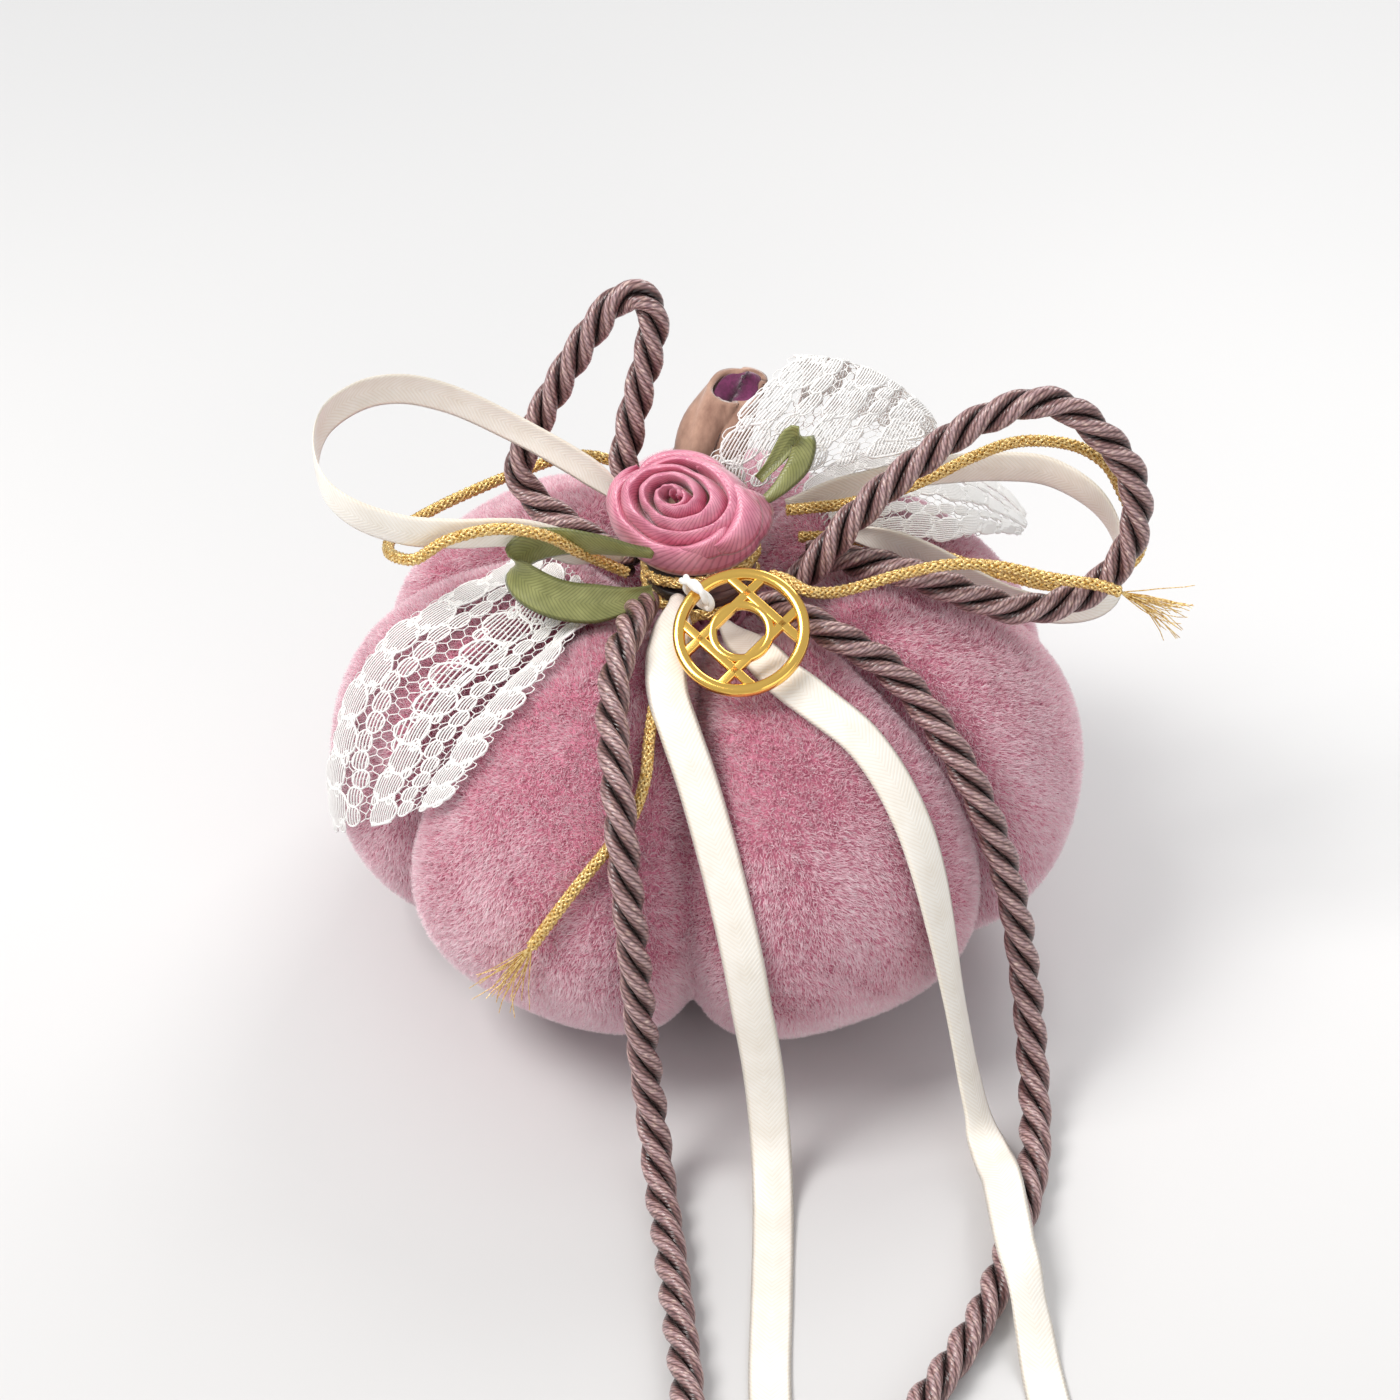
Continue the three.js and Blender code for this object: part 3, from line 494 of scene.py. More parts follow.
for hand in ("left", "right"):
    low, high = (Vector(c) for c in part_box(f"rope_knot_{hand}"))
    line = ropes[f"rope_tail_{hand}"][1]
    half = (high.z - low.z) / 2 * 0.98
    mesh = ball_of_rope(f"rope_knot_{hand}", np.array((low + high) / 2), headings(line)[-1], half)
    placed(f"rope_end_knot_{hand}", mesh, rope_satin)
    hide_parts(f"rope_knot_{hand}")

for name, (piece, line, length) in ropes.items():
    hand = name.split("_")[-1]
    tail = "tail" in name
    tuple(line[0])
    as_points(line[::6])

# %% [markdown]
# ## Satin ribbon
#
# The cream ribbon is woven satin, 6 mm wide, with a firm selvedge on each edge. It's modelled as a
# flat closed section with a small bead at both edges, laid along its route with a chosen sideways
# direction, because a ribbon bends one way only and its twist is part of the pose. It narrows
# where it's gathered into the bow's knot.

# %% Ribbon routes
UPRIGHT = (0, -0.14, 0.99)  # a ribbon standing on its edge
RIBBON_ROUTES = {
    "ribbon_tail_front": ([(1, 0, 0)], [
        (-4.4, -10.8, 66.3), (-4.7, -15, 67.2), (-5.2, -19.8, 67.2), (-6, -24.5, 66.1),
        (-5.8, -30, 63.9), (-4, -35.5, 61.1), (-1.6, -41, 56.6), (1, -47.6, 50.4),
        (3.2, -52.9, 43.5), (5, -56.6, 36), (6.4, -58.6, 27.8), (7.8, -60, 19.5), (8.8, -62, 11.5),
        (9.4, -65.5, 5), (9.6, -71, 1.6), (9.5, -78, 0.7), (9.1, -90, 0.7), (8.6, -105, 0.7),
        (9, -119, 0.7), (9.5, -131, 0.7), (8.5, -144, 0.7), (5, -158, 0.7),
    ]),
    "ribbon_tail_right": (
        [(0.8, -0.5, 0.2), (0.9, 0.4, 0), (0.5, 0.8, 0), (0.45, 0.88, 0), (0.9, 0.3, 0), (1, 0, 0)], [
            (2.5, -11, 61.7), (4.5, -16.5, 63.8), (7.5, -22.5, 65.2), (11, -28, 65),
            (16.2, -31.5, 62.7), (22, -35, 59.5), (26.3, -39, 55.3), (29.9, -43.4, 49.4),
            (32.3, -46.7, 42.6), (34.2, -48.9, 34.6), (35.8, -50.9, 26.5), (37.4, -53, 18.5),
            (39, -55.8, 11), (40.7, -59.8, 5.4), (42, -65, 4.4), (42.9, -71, 5.7),
            (43.4, -77.5, 6.2), (43.9, -83.5, 6.3), (44.8, -89.5, 5.8), (45.8, -96, 3),
            (46.6, -103, 0.8), (48, -114, 0.7), (51, -127, 0.7), (56, -139, 0.7), (64, -150, 0.7),
        ]),
    "ribbon_loop_left": ([UPRIGHT], [
        (-10.5, 5, 71), (-13.5, 6, 73.5), (-17.5, 7.6, 76.2), (-22.2, 9.4, 78.5), (-29.8, 12, 81.7),
        (-38.7, 13, 85.9), (-46, 12, 88.4), (-51.8, 10, 88.5), (-56.8, 6, 86.7), (-58, 1, 83.9),
        (-56.3, -4, 81.1), (-52.5, -7, 79.3), (-45.2, -8.5, 77.1), (-37.8, -8.8, 76.5),
        (-27.6, -8, 76), (-21, -6.6, 72.8), (-17, -3.8, 69.4), (-13, -1, 66.8),
    ]),
    "ribbon_loop_right": ([UPRIGHT], [
        (12, 9, 69), (16, 10, 69.8), (21.8, 11.2, 70.6), (29.6, 13.4, 71.2), (37.5, 15.2, 71.3),
        (45, 16, 71.2), (52.3, 15, 71), (59, 11, 69), (62, 6.5, 66.6), (62.8, 2, 63.8),
        (62, -0.8, 60.8), (59.5, -2, 58.8), (54.2, -2, 57.4), (47, -1.5, 58.6), (40, -1.2, 62),
        (33, -0.9, 66.6), (27, 0, 68.8), (23, 1.2, 69.2), (19.5, 2.3, 69.4),
    ]),
}

# %% Satin material for ribbon
RIBBON_WIDTH = 6 * MM
SELVEDGE = 0.55 * MM


def ribbon_satin(name, pale, mid, dark, twill, roughness, width):
    """Woven satin on a map in metres: a chevron of floats, and a firmer edge on both sides."""
    material, tree = blank_material(name)
    lie = node(tree, "ShaderNodeSeparateXYZ", links={
        "Vector": node(tree, "ShaderNodeUVMap", uv_map="UVMap").outputs[0]})
    across = node(tree, "ShaderNodeMath", {1: width}, {0: lie.outputs["X"]}, operation="PINGPONG")
    off_middle = node(tree, "ShaderNodeMath", {1: width / 2}, {0: across.outputs[0]},
                      operation="SUBTRACT")
    beside = node(tree, "ShaderNodeMath", links={0: off_middle.outputs[0]}, operation="ABSOLUTE")
    weave_at = node(tree, "ShaderNodeCombineXYZ", links={
        "X": beside.outputs[0], "Y": lie.outputs["Y"]})
    floats = node(tree, "ShaderNodeTexWave", {"Scale": 0.31 / twill, "Distortion": 0.8, "Detail": 1},
                  {"Vector": weave_at.outputs[0]}, bands_direction="DIAGONAL")
    edge = node(tree, "ShaderNodeMath", {1: width / 2 - SELVEDGE}, {0: beside.outputs[0]},
                operation="GREATER_THAN")
    pull = node(tree, "ShaderNodeTexNoise", {"Scale": 260, "Detail": 3}, {"Vector": weave_at.outputs[0]})
    cloth = ramp(tree, pull.outputs["Fac"], (0.3, mid), (0.62, pale))
    thread = ramp(tree, floats.outputs["Fac"], (0.0, dark), (0.45, "#ffffff"))
    tinted = node(tree, "ShaderNodeMix", {"Factor": 0.34}, {"A": cloth, "B": thread}, **MULTIPLY)
    half = node(tree, "ShaderNodeMath", {1: 0.4}, {0: edge.outputs[0]}, operation="MULTIPLY")
    bound = node(tree, "ShaderNodeMix", {"B": linear(mid)},
                 {"Factor": half.outputs[0], "A": tinted.outputs["Result"]}, **MULTIPLY)
    bump = node(tree, "ShaderNodeBump", {"Strength": 0.4, "Distance": 0.06 * MM},
                {"Height": floats.outputs["Fac"]})
    show(tree, node(
        tree, "ShaderNodeBsdfPrincipled",
        {"Roughness": roughness, "Anisotropic": 0.55, "Sheen Weight": 0.3, "Sheen Roughness": 0.35,
         "Specular IOR Level": 0.6},
        {"Base Color": bound.outputs["Result"], "Normal": bump.outputs[0]},
    ).outputs[0])
    return material


cream_satin = ribbon_satin("polyester_satin_ribbon_cream", "#fffaf2", "#f8f1e6", "#eadfd0",
                           0.36 * MM, 0.34, RIBBON_WIDTH)

# %% Ribbons
RIBBON_STEP = 0.9 * MM
RIBBON_HALF_THICK = 0.13 * MM
BEAD = 0.1 * MM  # how much the selvedge stands up
CUP = 0.35 * MM  # how much the middle rises over the edges
GATHER_LENGTH = 10 * MM
CUT_SLANT = 4 * MM  # a free end is cut on the slant


def ribbon_mesh(name, line, side_ways, width, gathered=(True, False), slant=0.0, half=RIBBON_HALF_THICK):
    """A ribbon along a line, with its width along the side directions."""
    ways = headings(line)
    run = along(line)
    if len(side_ways) > 1:
        sides = spline_at(side_ways, np.linspace(0, 1, len(line)))
    else:
        sides = np.broadcast_to(np.array(side_ways[0], float), line.shape)
    sides = unit(sides - ways * (sides * ways).sum(1, keepdims=True))
    faces = np.cross(ways, sides)
    share = np.ones(len(line))
    for end, wanted in zip((run, run[-1] - run), gathered):
        if wanted:
            ramp_in = np.clip(end / GATHER_LENGTH, 0, 1)
            share = share * (0.42 + 0.58 * ramp_in * ramp_in * (3 - 2 * ramp_in))
    ripple = np.sin(run / (7.3 * MM)) * 0.12 * MM

    def place(u, v):
        row = np.rint(v * (len(line) - 1)).astype(int)
        top = u < 0.5
        across = np.where(top, 2 * u, 2 - 2 * u) * 2 - 1
        x = across * width / 2 * share[row]
        closing = np.sqrt(np.clip(1 - across**8, 0, 1))
        bead = BEAD * np.exp(-(((np.abs(across) - 0.86) / 0.08) ** 2))
        thick = (half + bead) * closing * np.where(top, 1, -1)
        cup = (CUP / share[row]) * (1 - across**2) + ripple[row] * across
        tail = np.where(row == len(line) - 1, slant * across / 2, 0)
        return (line[row] + sides[row] * x[:, None] + faces[row] * (thick + cup - CUP / 2)[:, None]
                + ways[row] * tail[:, None])

    size = (2 * width, run[-1])
    return shaped_grid(name, 20, len(line) - 1, place, round_=True, ends=True, size=size)


for name, (side_ways, points) in RIBBON_ROUTES.items():
    line = even_line(points, RIBBON_STEP)
    tail = "tail" in name
    mesh = ribbon_mesh(name, line, side_ways, RIBBON_WIDTH, (True, not tail), CUT_SLANT if tail else 0)
    piece = placed(f"{name}_satin", mesh, cream_satin)
    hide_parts(name)
    length = along(line)[-1]
    tuple(line[0])
    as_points(line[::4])
    print(f"{name}: {length / MM:.0f} mm of ribbon")

# %% [markdown]
# ## Gold braid
#
# The thin gold cord is a tubular braid of metallised thread. Six threads wind one way and six the
# other, each passing over one and under the next. The wave that lifts a thread is the same cosine
# for a whole family, so over and under fall into place by themselves.

# %% Braid routes
BRAID_ROUTES = {
    "braid_tail_left": [
        (-2, -11, 63), (-3.6, -15, 64.4), (-5.3, -19.5, 64.8), (-6.8, -25, 64.2),
        (-7.7, -30.4, 62.4), (-8.4, -36, 59.8), (-9, -41.5, 56.7), (-11.1, -46, 53),
        (-14.2, -48.9, 50.4), (-18.4, -51.3, 45.8), (-22.8, -52.8, 39.6), (-25.4, -53, 35.2),
    ],
    "braid_tail_right": [
        (9.5, -10.3, 70.2), (11.8, -12.4, 70.8), (14.7, -14.4, 70.3), (18, -13.6, 69.4),
        (21.5, -12, 69), (28.6, -10, 70.1), (36.1, -8.5, 70.8), (43.5, -8, 70), (51, -8.5, 68.3),
        (58.4, -9, 67.3), (61.4, -9.5, 66.4),
    ],
    "braid_loop_left": [
        (-12, -4.8, 66.5), (-15.5, -5.6, 69), (-19.5, -8.6, 73.5), (-23.5, -10.3, 77.3),
        (-30.6, -10.8, 79), (-38.2, -11, 77), (-43, -9.8, 72.8), (-46.8, -5.5, 70.2),
        (-48, -0.5, 68.4), (-46.8, 5, 67.3), (-43.5, 9.5, 66.8), (-39, 13.4, 67), (-33, 17.5, 67.4),
        (-28, 20, 68), (-22.2, 20.4, 70), (-17.6, 19.3, 71), (-13.5, 17.8, 70.5), (-10.5, 16.8, 69),
    ],
    "braid_loop_right": [
        (12, 4.4, 71.4), (16, 4, 72.2), (20, 3.6, 73), (24, 3.2, 74.4), (29, 3, 76.2),
        (34.7, 4, 78.5), (39.2, 5, 80.5), (45, 6, 82.5), (49.5, 6, 83), (55.4, 5.5, 82.2),
        (59.5, 5, 79.5), (63.1, 5, 73), (66, 4.6, 67), (65.6, 4.6, 62.4), (62.5, 4, 59.8),
        (57, 2.6, 59), (52, 1.5, 59.4), (47, 1.2, 61), (39, 1.3, 63.8), (34.9, 1.5, 65.2),
        (27, 2.4, 66.2), (20.4, 3.8, 66.8), (14, 5, 66),
    ],
}

# %% Metallised thread
def metal_thread(name, bright, deep, metallic, roughness):
    """Metal foil wound on a core: it glitters, because the foil's turns face many ways, and its colour
    is painted lighter on the same specks as painted glints.
    """
    material, tree = blank_material(name)
    place = node(tree, "ShaderNodeTexCoord").outputs["Object"]
    glints = node(tree, "ShaderNodeTexNoise", {"Scale": 2600, "Detail": 2}, {"Vector": place})
    bump = node(tree, "ShaderNodeBump", {"Strength": 0.8, "Distance": 0.15 * MM},
                {"Height": glints.outputs["Fac"]})
    # Painted glints: the colour runs from deep to bright on the same specks as the bump.
    show(tree, node(
        tree, "ShaderNodeBsdfPrincipled", {"Metallic": metallic, "Roughness": roughness},
        {"Base Color": ramp(tree, glints.outputs["Fac"], (0.35, deep), (0.6, bright)),
         "Normal": bump.outputs[0]},
    ).outputs[0])
    return material


gold_thread = metal_thread("metallised_thread_gold", "#ffe3a0", "#c8943c", 0.55, 0.28)

# %% Braids
BRAID = 1.8 * MM
BRAID_THREADS = 6  # winding each way
THREAD_RADIUS = 0.25 * MM
BRAID_LAY = 7 * MM
BRAID_STEP = 0.29 * MM
OVER_UNDER = 0.14 * MM


def braid_mesh(name, line):
    """A braided tube along a line."""
    ways = headings(line)
    sides = steady_sides(line)
    ups = np.cross(ways, sides)
    turn = 2 * np.pi * along(line) / BRAID_LAY
    wave = OVER_UNDER * np.cos(BRAID_THREADS * turn)
    strands = [(line, (BRAID / 2 - 2.4 * THREAD_RADIUS) / THREAD_RADIUS)]
    for hand in (1, -1):
        radius = (BRAID / 2 - THREAD_RADIUS - OVER_UNDER * 0.3 + hand * wave)[:, None]
        for k in range(BRAID_THREADS):
            angle = (hand * turn + 2 * np.pi * k / BRAID_THREADS)[:, None]
            strands.append((line + radius * (np.cos(angle) * sides + np.sin(angle) * ups), 1.0))
    return thread_mesh(name, strands, THREAD_RADIUS, roundness=0)


FRAY_THREADS = 30


def fray_mesh(name, start, heading, low, high):
    """Loose threads that fan out of the braid's cut end, reaching about as far as a box's diagonal."""
    way = unit(heading)
    side = unit(np.cross(way, (0, 1, 0)))
    depth = np.cross(way, side)
    reach = np.linalg.norm((np.array(high) - low)) * 0.92
    strands = []
    for _ in range(FRAY_THREADS):
        out = random.normal(0, 0.22)
        back = random.normal(0, 0.12)
        long = reach * random.uniform(0.72, 1.0)
        bend = random.normal(0, 0.12, 2)
        share = np.linspace(0, 1, 9)[:, None]
        line = (start + way * long * share + side * long * (out * share + bend[0] * share**3)
                + depth * long * (back * share + bend[1] * share**3))
        line += random.normal(0, 0.06 * MM, line.shape) * share
        strands.append((line, np.linspace(1, 0.55, 9)))
    return thread_mesh(name, strands, 0.13 * MM, roundness=0)


braids = {}
for name, points in BRAID_ROUTES.items():
    line = even_line(points, BRAID_STEP)
    piece = placed(f"{name}_woven", braid_mesh(name, line), gold_thread)
    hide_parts(name)
    tail = "tail" in name
    ends = []
    if tail:
        hand = name.split("_")[-1]
        low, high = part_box(f"braid_fray_{hand}")
        fray = fray_mesh(f"fray_{hand}", line[-1], headings(line)[-1], low, high)
        ends = [placed(f"braid_end_{hand}_frayed", fray, gold_thread)]
        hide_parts(f"braid_fray_{hand}")
    length = along(line)[-1]
    tuple(line[0])
    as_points(line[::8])
    print(f"{name}: {length / MM:.0f} mm of braid")

# %% [markdown]
# ## The lobed body
#
# Seven stitched lines pull a round cushion in, so it looks like a pumpkin. The shape is worked out
# from those lines: a point's angle round the axis says how full its lobe is, and its climb from
# the underside to the top says how far out and how high it lies. A short cloth simulation with
# gentle air pressure runs on that shape, pinned at the stitches. It moves the cloth by only a few
# hundredths of a millimetre, so the lobes are the formula's work and not the simulation's.

# %% The cushion's shape
HALF_WIDTH = 59.3
HALF_DEPTH = 57.8
WAIST = 30
RISE = 37
DROP = 36
TOP_DIMPLE = 14
BASE_DIMPLE = 11
DIMPLE_RADIUS = 26
PINCH = 0.105
PINCH_TOP = 0.09
PINCH_BASE = 0.05
TIE_LINES = np.array([-148.0, -93, -38, 12, 62, 112, 162, 212])  # the last repeats the first
OVER_POWER = 0.82  # flattens the shoulders


def fullness(azimuth):
    """How full the lobe is at an angle in degrees: 0 on a stitched line and 1 on the crest."""
    turn = (azimuth - TIE_LINES[0]) % 360 + TIE_LINES[0]
    lobe = np.clip(np.searchsorted(TIE_LINES, turn, side="right") - 1, 0, 6)
    share = (turn - TIE_LINES[lobe]) / (TIE_LINES[lobe + 1] - TIE_LINES[lobe])
    return 1 - (1 - np.sin(np.pi * share)) ** 2.2


def skin(azimuth, climb, inside=0.0, bridge=0.0):
    """Points on the cushion, in metres, for angles in degrees; inside is in millimetres."""
    azimuth = np.asarray(azimuth, float)
    lift = np.radians(np.asarray(climb, float))
    rise = np.sin(lift)
    over = rise > 0
    reach = np.abs(np.cos(lift)) ** np.where(over, OVER_POWER, 1)
    near = np.minimum(HALF_WIDTH * reach / DIMPLE_RADIUS, 1)
    pull = (1 - near * near) ** 2 * np.where(over, TOP_DIMPLE, -BASE_DIMPLE)
    height = np.where(over, RISE, DROP) * rise - pull
    pinch = PINCH + np.where(over, PINCH_TOP, PINCH_BASE) * rise * rise
    squeeze = 1 - pinch * (1 - np.maximum(fullness(azimuth), bridge))
    inward = (HALF_WIDTH - inside) / HALF_WIDTH
    x = (HALF_WIDTH - inside) * reach * squeeze * np.cos(np.radians(azimuth))
    y = (HALF_DEPTH - inside) * reach * squeeze * np.sin(np.radians(azimuth))
    z = WAIST + (height * inward - inside * rise * (1 - reach) * 0.5) * squeeze
    return np.stack([x, y, np.maximum(z, inside)], -1) * MM


def skin_normal(azimuth, climb, bridge=0.0):
    """The cushion's outward direction."""
    step = 0.5
    round_ = skin(azimuth + step, climb, 0, bridge) - skin(azimuth - step, climb, 0, bridge)
    upward = skin(azimuth, climb + step, 0, bridge) - skin(azimuth, climb - step, 0, bridge)
    return unit(np.cross(round_, upward))


def climb_at(radius, top):
    """The climb at which the skin is a given distance in millimetres from the axis."""
    share = (radius / HALF_WIDTH) ** (1 / OVER_POWER if top else 1)
    return (1 if top else -1) * (90 - math.degrees(math.asin(share)))


# %% Velvet ground cloth
PILE_HEIGHT = 1.3  # millimetres that the pile stands over the ground cloth
MOUTH = 2.2
BODY_ROUND = 154
BODY_ROWS = 72
GROOVE_FOLD = 4.4  # millimetres that the cloth tucks in along a stitched line


def cushion_place(u, v):
    """The cushion's cloth, with a fold tucked in at each stitched line."""
    azimuth = TIE_LINES[0] + 360 * u
    low, high = climb_at(MOUTH, False), climb_at(MOUTH, True)
    climb = low + (high - low) * (1 - np.cos(np.pi * v)) / 2
    inside = PILE_HEIGHT * 0.75 + GROOVE_FOLD * (1 - fullness(azimuth)) ** 2.4
    puckers = 0.25 * np.cos(np.radians(azimuth) * 56) * np.clip((np.abs(climb) - 30) / 40, 0, 1)
    return skin(azimuth, climb, inside + puckers)


cover_mesh = shaped_grid("velvet_cover", BODY_ROUND, BODY_ROWS, cushion_place, round_=True, ends=True)

# %% Press the cloth out with a gentle simulation
UNDERSIDE = 0.8 * MM  # the lowest that the cloth lies
FRAMES = 14


def press_with_air(mesh):
    """Cloth with air pressure, pinned at the stitched lines, the mouths and the underside."""
    at = read(mesh.vertices, "co")
    azimuth = np.degrees(np.arctan2(at[:, 1] / HALF_DEPTH, at[:, 0] / HALF_WIDTH))
    from_axis = np.hypot(at[:, 0], at[:, 1])
    stitched = (fullness(azimuth) < 0.28) | (from_axis < 14 * MM) | (at[:, 2] < 1.5 * MM)
    piece = in_scene("cushion_fill", mesh)
    pins = piece.vertex_groups.new(name="pins")
    pins.add([int(i) for i in np.flatnonzero(stitched)], 1.0, "REPLACE")
    air = piece.modifiers.new("air", "CLOTH")
    air.point_cache.frame_end = FRAMES
    cloth = air.settings
    cloth.quality = 6
    cloth.mass = 0.2
    cloth.tension_stiffness = 12
    cloth.compression_stiffness = 12
    cloth.bending_stiffness = 0.4
    cloth.use_pressure = True
    cloth.uniform_pressure_force = 3
    cloth.vertex_group_mass = "pins"
    cloth.effector_weights.gravity = 0
    scene = bpy.context.scene
    for frame_number in range(1, FRAMES + 1):
        scene.frame_set(frame_number)
    pressed = read(piece.evaluated_get(bpy.context.evaluated_depsgraph_get()).data.vertices, "co")
    far = np.linalg.norm(pressed - at, axis=1).max()
    pressed[:, 2] = np.maximum(pressed[:, 2], UNDERSIDE)
    mesh.vertices.foreach_set("co", pressed.ravel())
    bpy.data.objects.remove(piece)
    scene.frame_set(1)
    print(f"the air moves the cloth by up to {far / MM:.3f} mm")


press_with_air(cover_mesh)

# %% Velvet materials
def pile_finish(name, root, middle, tip):
    """Velvet pile: darker at the root as painted shade, pale and shiny at the tip with a painted
    highlight, and paler in soft brushed patches and towards the bottom as painted sheen.
    """
    material, tree = blank_material(name)
    place = node(tree, "ShaderNodeTexCoord").outputs["Object"]
    height = node(tree, "ShaderNodeAttribute", attribute_name="height").outputs["Fac"]
    # Painted sheen: soft patches of brushed pile are paler.
    brushed_pile_sheen = node(tree, "ShaderNodeTexNoise", {"Scale": 95, "Detail": 3, "Roughness": 0.6},
                   {"Vector": place})
    fibre = node(tree, "ShaderNodeTexNoise", {"Scale": 1100, "Detail": 2}, {"Vector": place})
    # Painted shade at each tuft's root and painted highlight at its tip.
    dark = ramp(tree, height, (0.0, root), (0.55, middle), (1.0, tip))
    pale = ramp(tree, height, (0.0, middle), (1.0, "#fff6f9"))
    # Painted sheen: the pile is paler towards the bottom.
    low = node(tree, "ShaderNodeMapRange", {"From Min": 0.062, "From Max": 0.012},
               {"Value": node(tree, "ShaderNodeSeparateXYZ", links={"Vector": place}).outputs["Z"]})
    lower_painted_sheen = node(tree, "ShaderNodeMath", {1: 0.5}, {0: low.outputs[0]}, operation="MULTIPLY")
    patch = node(tree, "ShaderNodeMath", {1: 0.5}, {0: brushed_pile_sheen.outputs["Fac"], 2: lower_painted_sheen.outputs[0]},
                 operation="MULTIPLY_ADD")
    grain = node(tree, "ShaderNodeMath", {1: 0.8, 2: -0.3}, {0: fibre.outputs["Fac"]},
                 operation="MULTIPLY_ADD")
    amount = node(tree, "ShaderNodeMath", links={0: patch.outputs[0], 1: grain.outputs[0]},
                  operation="ADD", use_clamp=True)
    tint = node(tree, "ShaderNodeMix", links={"Factor": amount.outputs[0], "A": dark, "B": pale},
                data_type="RGBA")
    glint = node(tree, "ShaderNodeAttribute", attribute_name="glint").outputs["Fac"]
    spark = node(tree, "ShaderNodeMix", {"B": linear("#fffafb")},
                 {"Factor": glint, "A": tint.outputs["Result"]}, data_type="RGBA")
    lit = node(
        tree, "ShaderNodeBsdfPrincipled",
        {"Roughness": 0.42, "Sheen Weight": 0.5, "Sheen Roughness": 0.35,
         "Sheen Tint": linear("#ffd9e4"), "Specular IOR Level": 0.7},
        {"Base Color": spark.outputs["Result"]},
    )
    through = node(tree, "ShaderNodeBsdfTranslucent", links={"Color": spark.outputs["Result"]})
    both = node(tree, "ShaderNodeMixShader", {"Fac": 0.35}, {1: lit.outputs[0], 2: through.outputs[0]})
    show(tree, both.outputs[0])
    return material


velvet_pile = pile_finish("rayon_velvet_pile_pink", "#dc98ad", "#f6c8d7", "#ffeaf1")
# Painted shade: the ground cloth is coloured darker than the pile, for the shade between the tufts and
# in the folds.
velvet_ground, tree = blank_material("velvet_ground_cloth_pink")  # woven backing, seen in the folds
place = node(tree, "ShaderNodeTexCoord").outputs["Object"]
mottle = node(tree, "ShaderNodeTexNoise", {"Scale": 900, "Detail": 3}, {"Vector": place})
show(tree, node(
    tree, "ShaderNodeBsdfPrincipled",
    {"Roughness": 0.9, "Sheen Weight": 0.6, "Sheen Roughness": 0.4, "Sheen Tint": linear("#f0b8c8")},
    {"Base Color": ramp(tree, mottle.outputs["Fac"], (0.3, "#b96a82"), (0.7, "#d88fa5"))},
).outputs[0])

cover = placed("velvet_ground", cover_mesh, velvet_ground)
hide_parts("velvet_cover")
smoothing = cover.modifiers.new("smooth", "SUBSURF")
smoothing.levels = smoothing.render_levels = 1
smoothing.use_limit_surface = False

# %% [markdown]
# ## Velvet pile
#
# Velvet's look is its pile: thousands of short upright fibres, brushed this way and that, pale
# where their sides catch the light and deep where the eye looks down between them. Sheen alone
# misses the soft edge and the sparkle, so the pile is real here: a narrow blade for each tuft,
# rooted on the ground cloth and leaning the way that a slow wave brushes it.

# %% Pile
BLADES = 185000
BLADE_LENGTH = 1.3 * MM
BLADE_WIDTH = 0.2 * MM
PATCHES = ("front", "left", "right", "back")


def surface_points(piece, count):
    """Evenly scattered points on a piece's finished surface, with the outward directions there."""
    ready = piece.evaluated_get(bpy.context.evaluated_depsgraph_get()).to_mesh()
    ready.calc_loop_triangles()
    corners = read(ready.loop_triangles, "vertices", int)
    at, out = read(ready.vertices, "co"), read(ready.vertices, "normal")
    a, b, c = (at[corners[:, k]] for k in range(3))
    area = np.linalg.norm(np.cross(b - a, c - a), axis=1) / 2
    chosen = random.choice(len(corners), count, p=area / area.sum())
    first, second = random.random((2, count))
    flip = first + second > 1
    first, second = np.where(flip, 1 - first, first), np.where(flip, 1 - second, second)
    share = np.column_stack([1 - first - second, first, second])[:, :, None]
    piece.to_mesh_clear()
    return ((at[corners[chosen]] * share).sum(1), unit((out[corners[chosen]] * share).sum(1)),
            area.sum())


def brushing(at, wavelength, count):
    """A slow wave of directions: the way that the pile has been brushed at each point."""
    flow = np.zeros_like(at)
    for _ in range(count):
        wave = unit(random.normal(size=3)) * 2 * np.pi / (wavelength * random.uniform(0.6, 1.6))
        flow += unit(random.normal(size=3)) * np.sin(at @ wave + random.uniform(0, 6.3))[:, None]
    return flow


roots, outward, cloth_area = surface_points(cover, BLADES * len(PATCHES))
print(f"{cloth_area * 1e4:.0f} square centimetres of velvet, {len(roots) / cloth_area * 1e-6:.1f} "
      "tufts to the square millimetre")
lean = brushing(roots, 15 * MM, 9) * 0.28 + brushing(roots, 4 * MM, 6) * 0.22
lean += random.normal(0, 0.5, roots.shape) + np.array((0, 0, -0.3))
lean -= outward * (lean * outward).sum(1, keepdims=True)
tall = (BLADE_LENGTH * random.uniform(0.7, 1.0, len(roots)))[:, None]
tips = roots + unit(outward + lean * 0.75) * tall
tips[:, 2] = np.maximum(tips[:, 2], 0.15 * MM)
width = unit(np.cross(outward, random.normal(size=roots.shape))) * BLADE_WIDTH / 2
keep = np.hypot(roots[:, 0], roots[:, 1]) > 4 * MM
angle = np.degrees(np.arctan2(roots[:, 1], roots[:, 0]))
middles = {"front": -90, "left": 180, "right": 0, "back": 90}
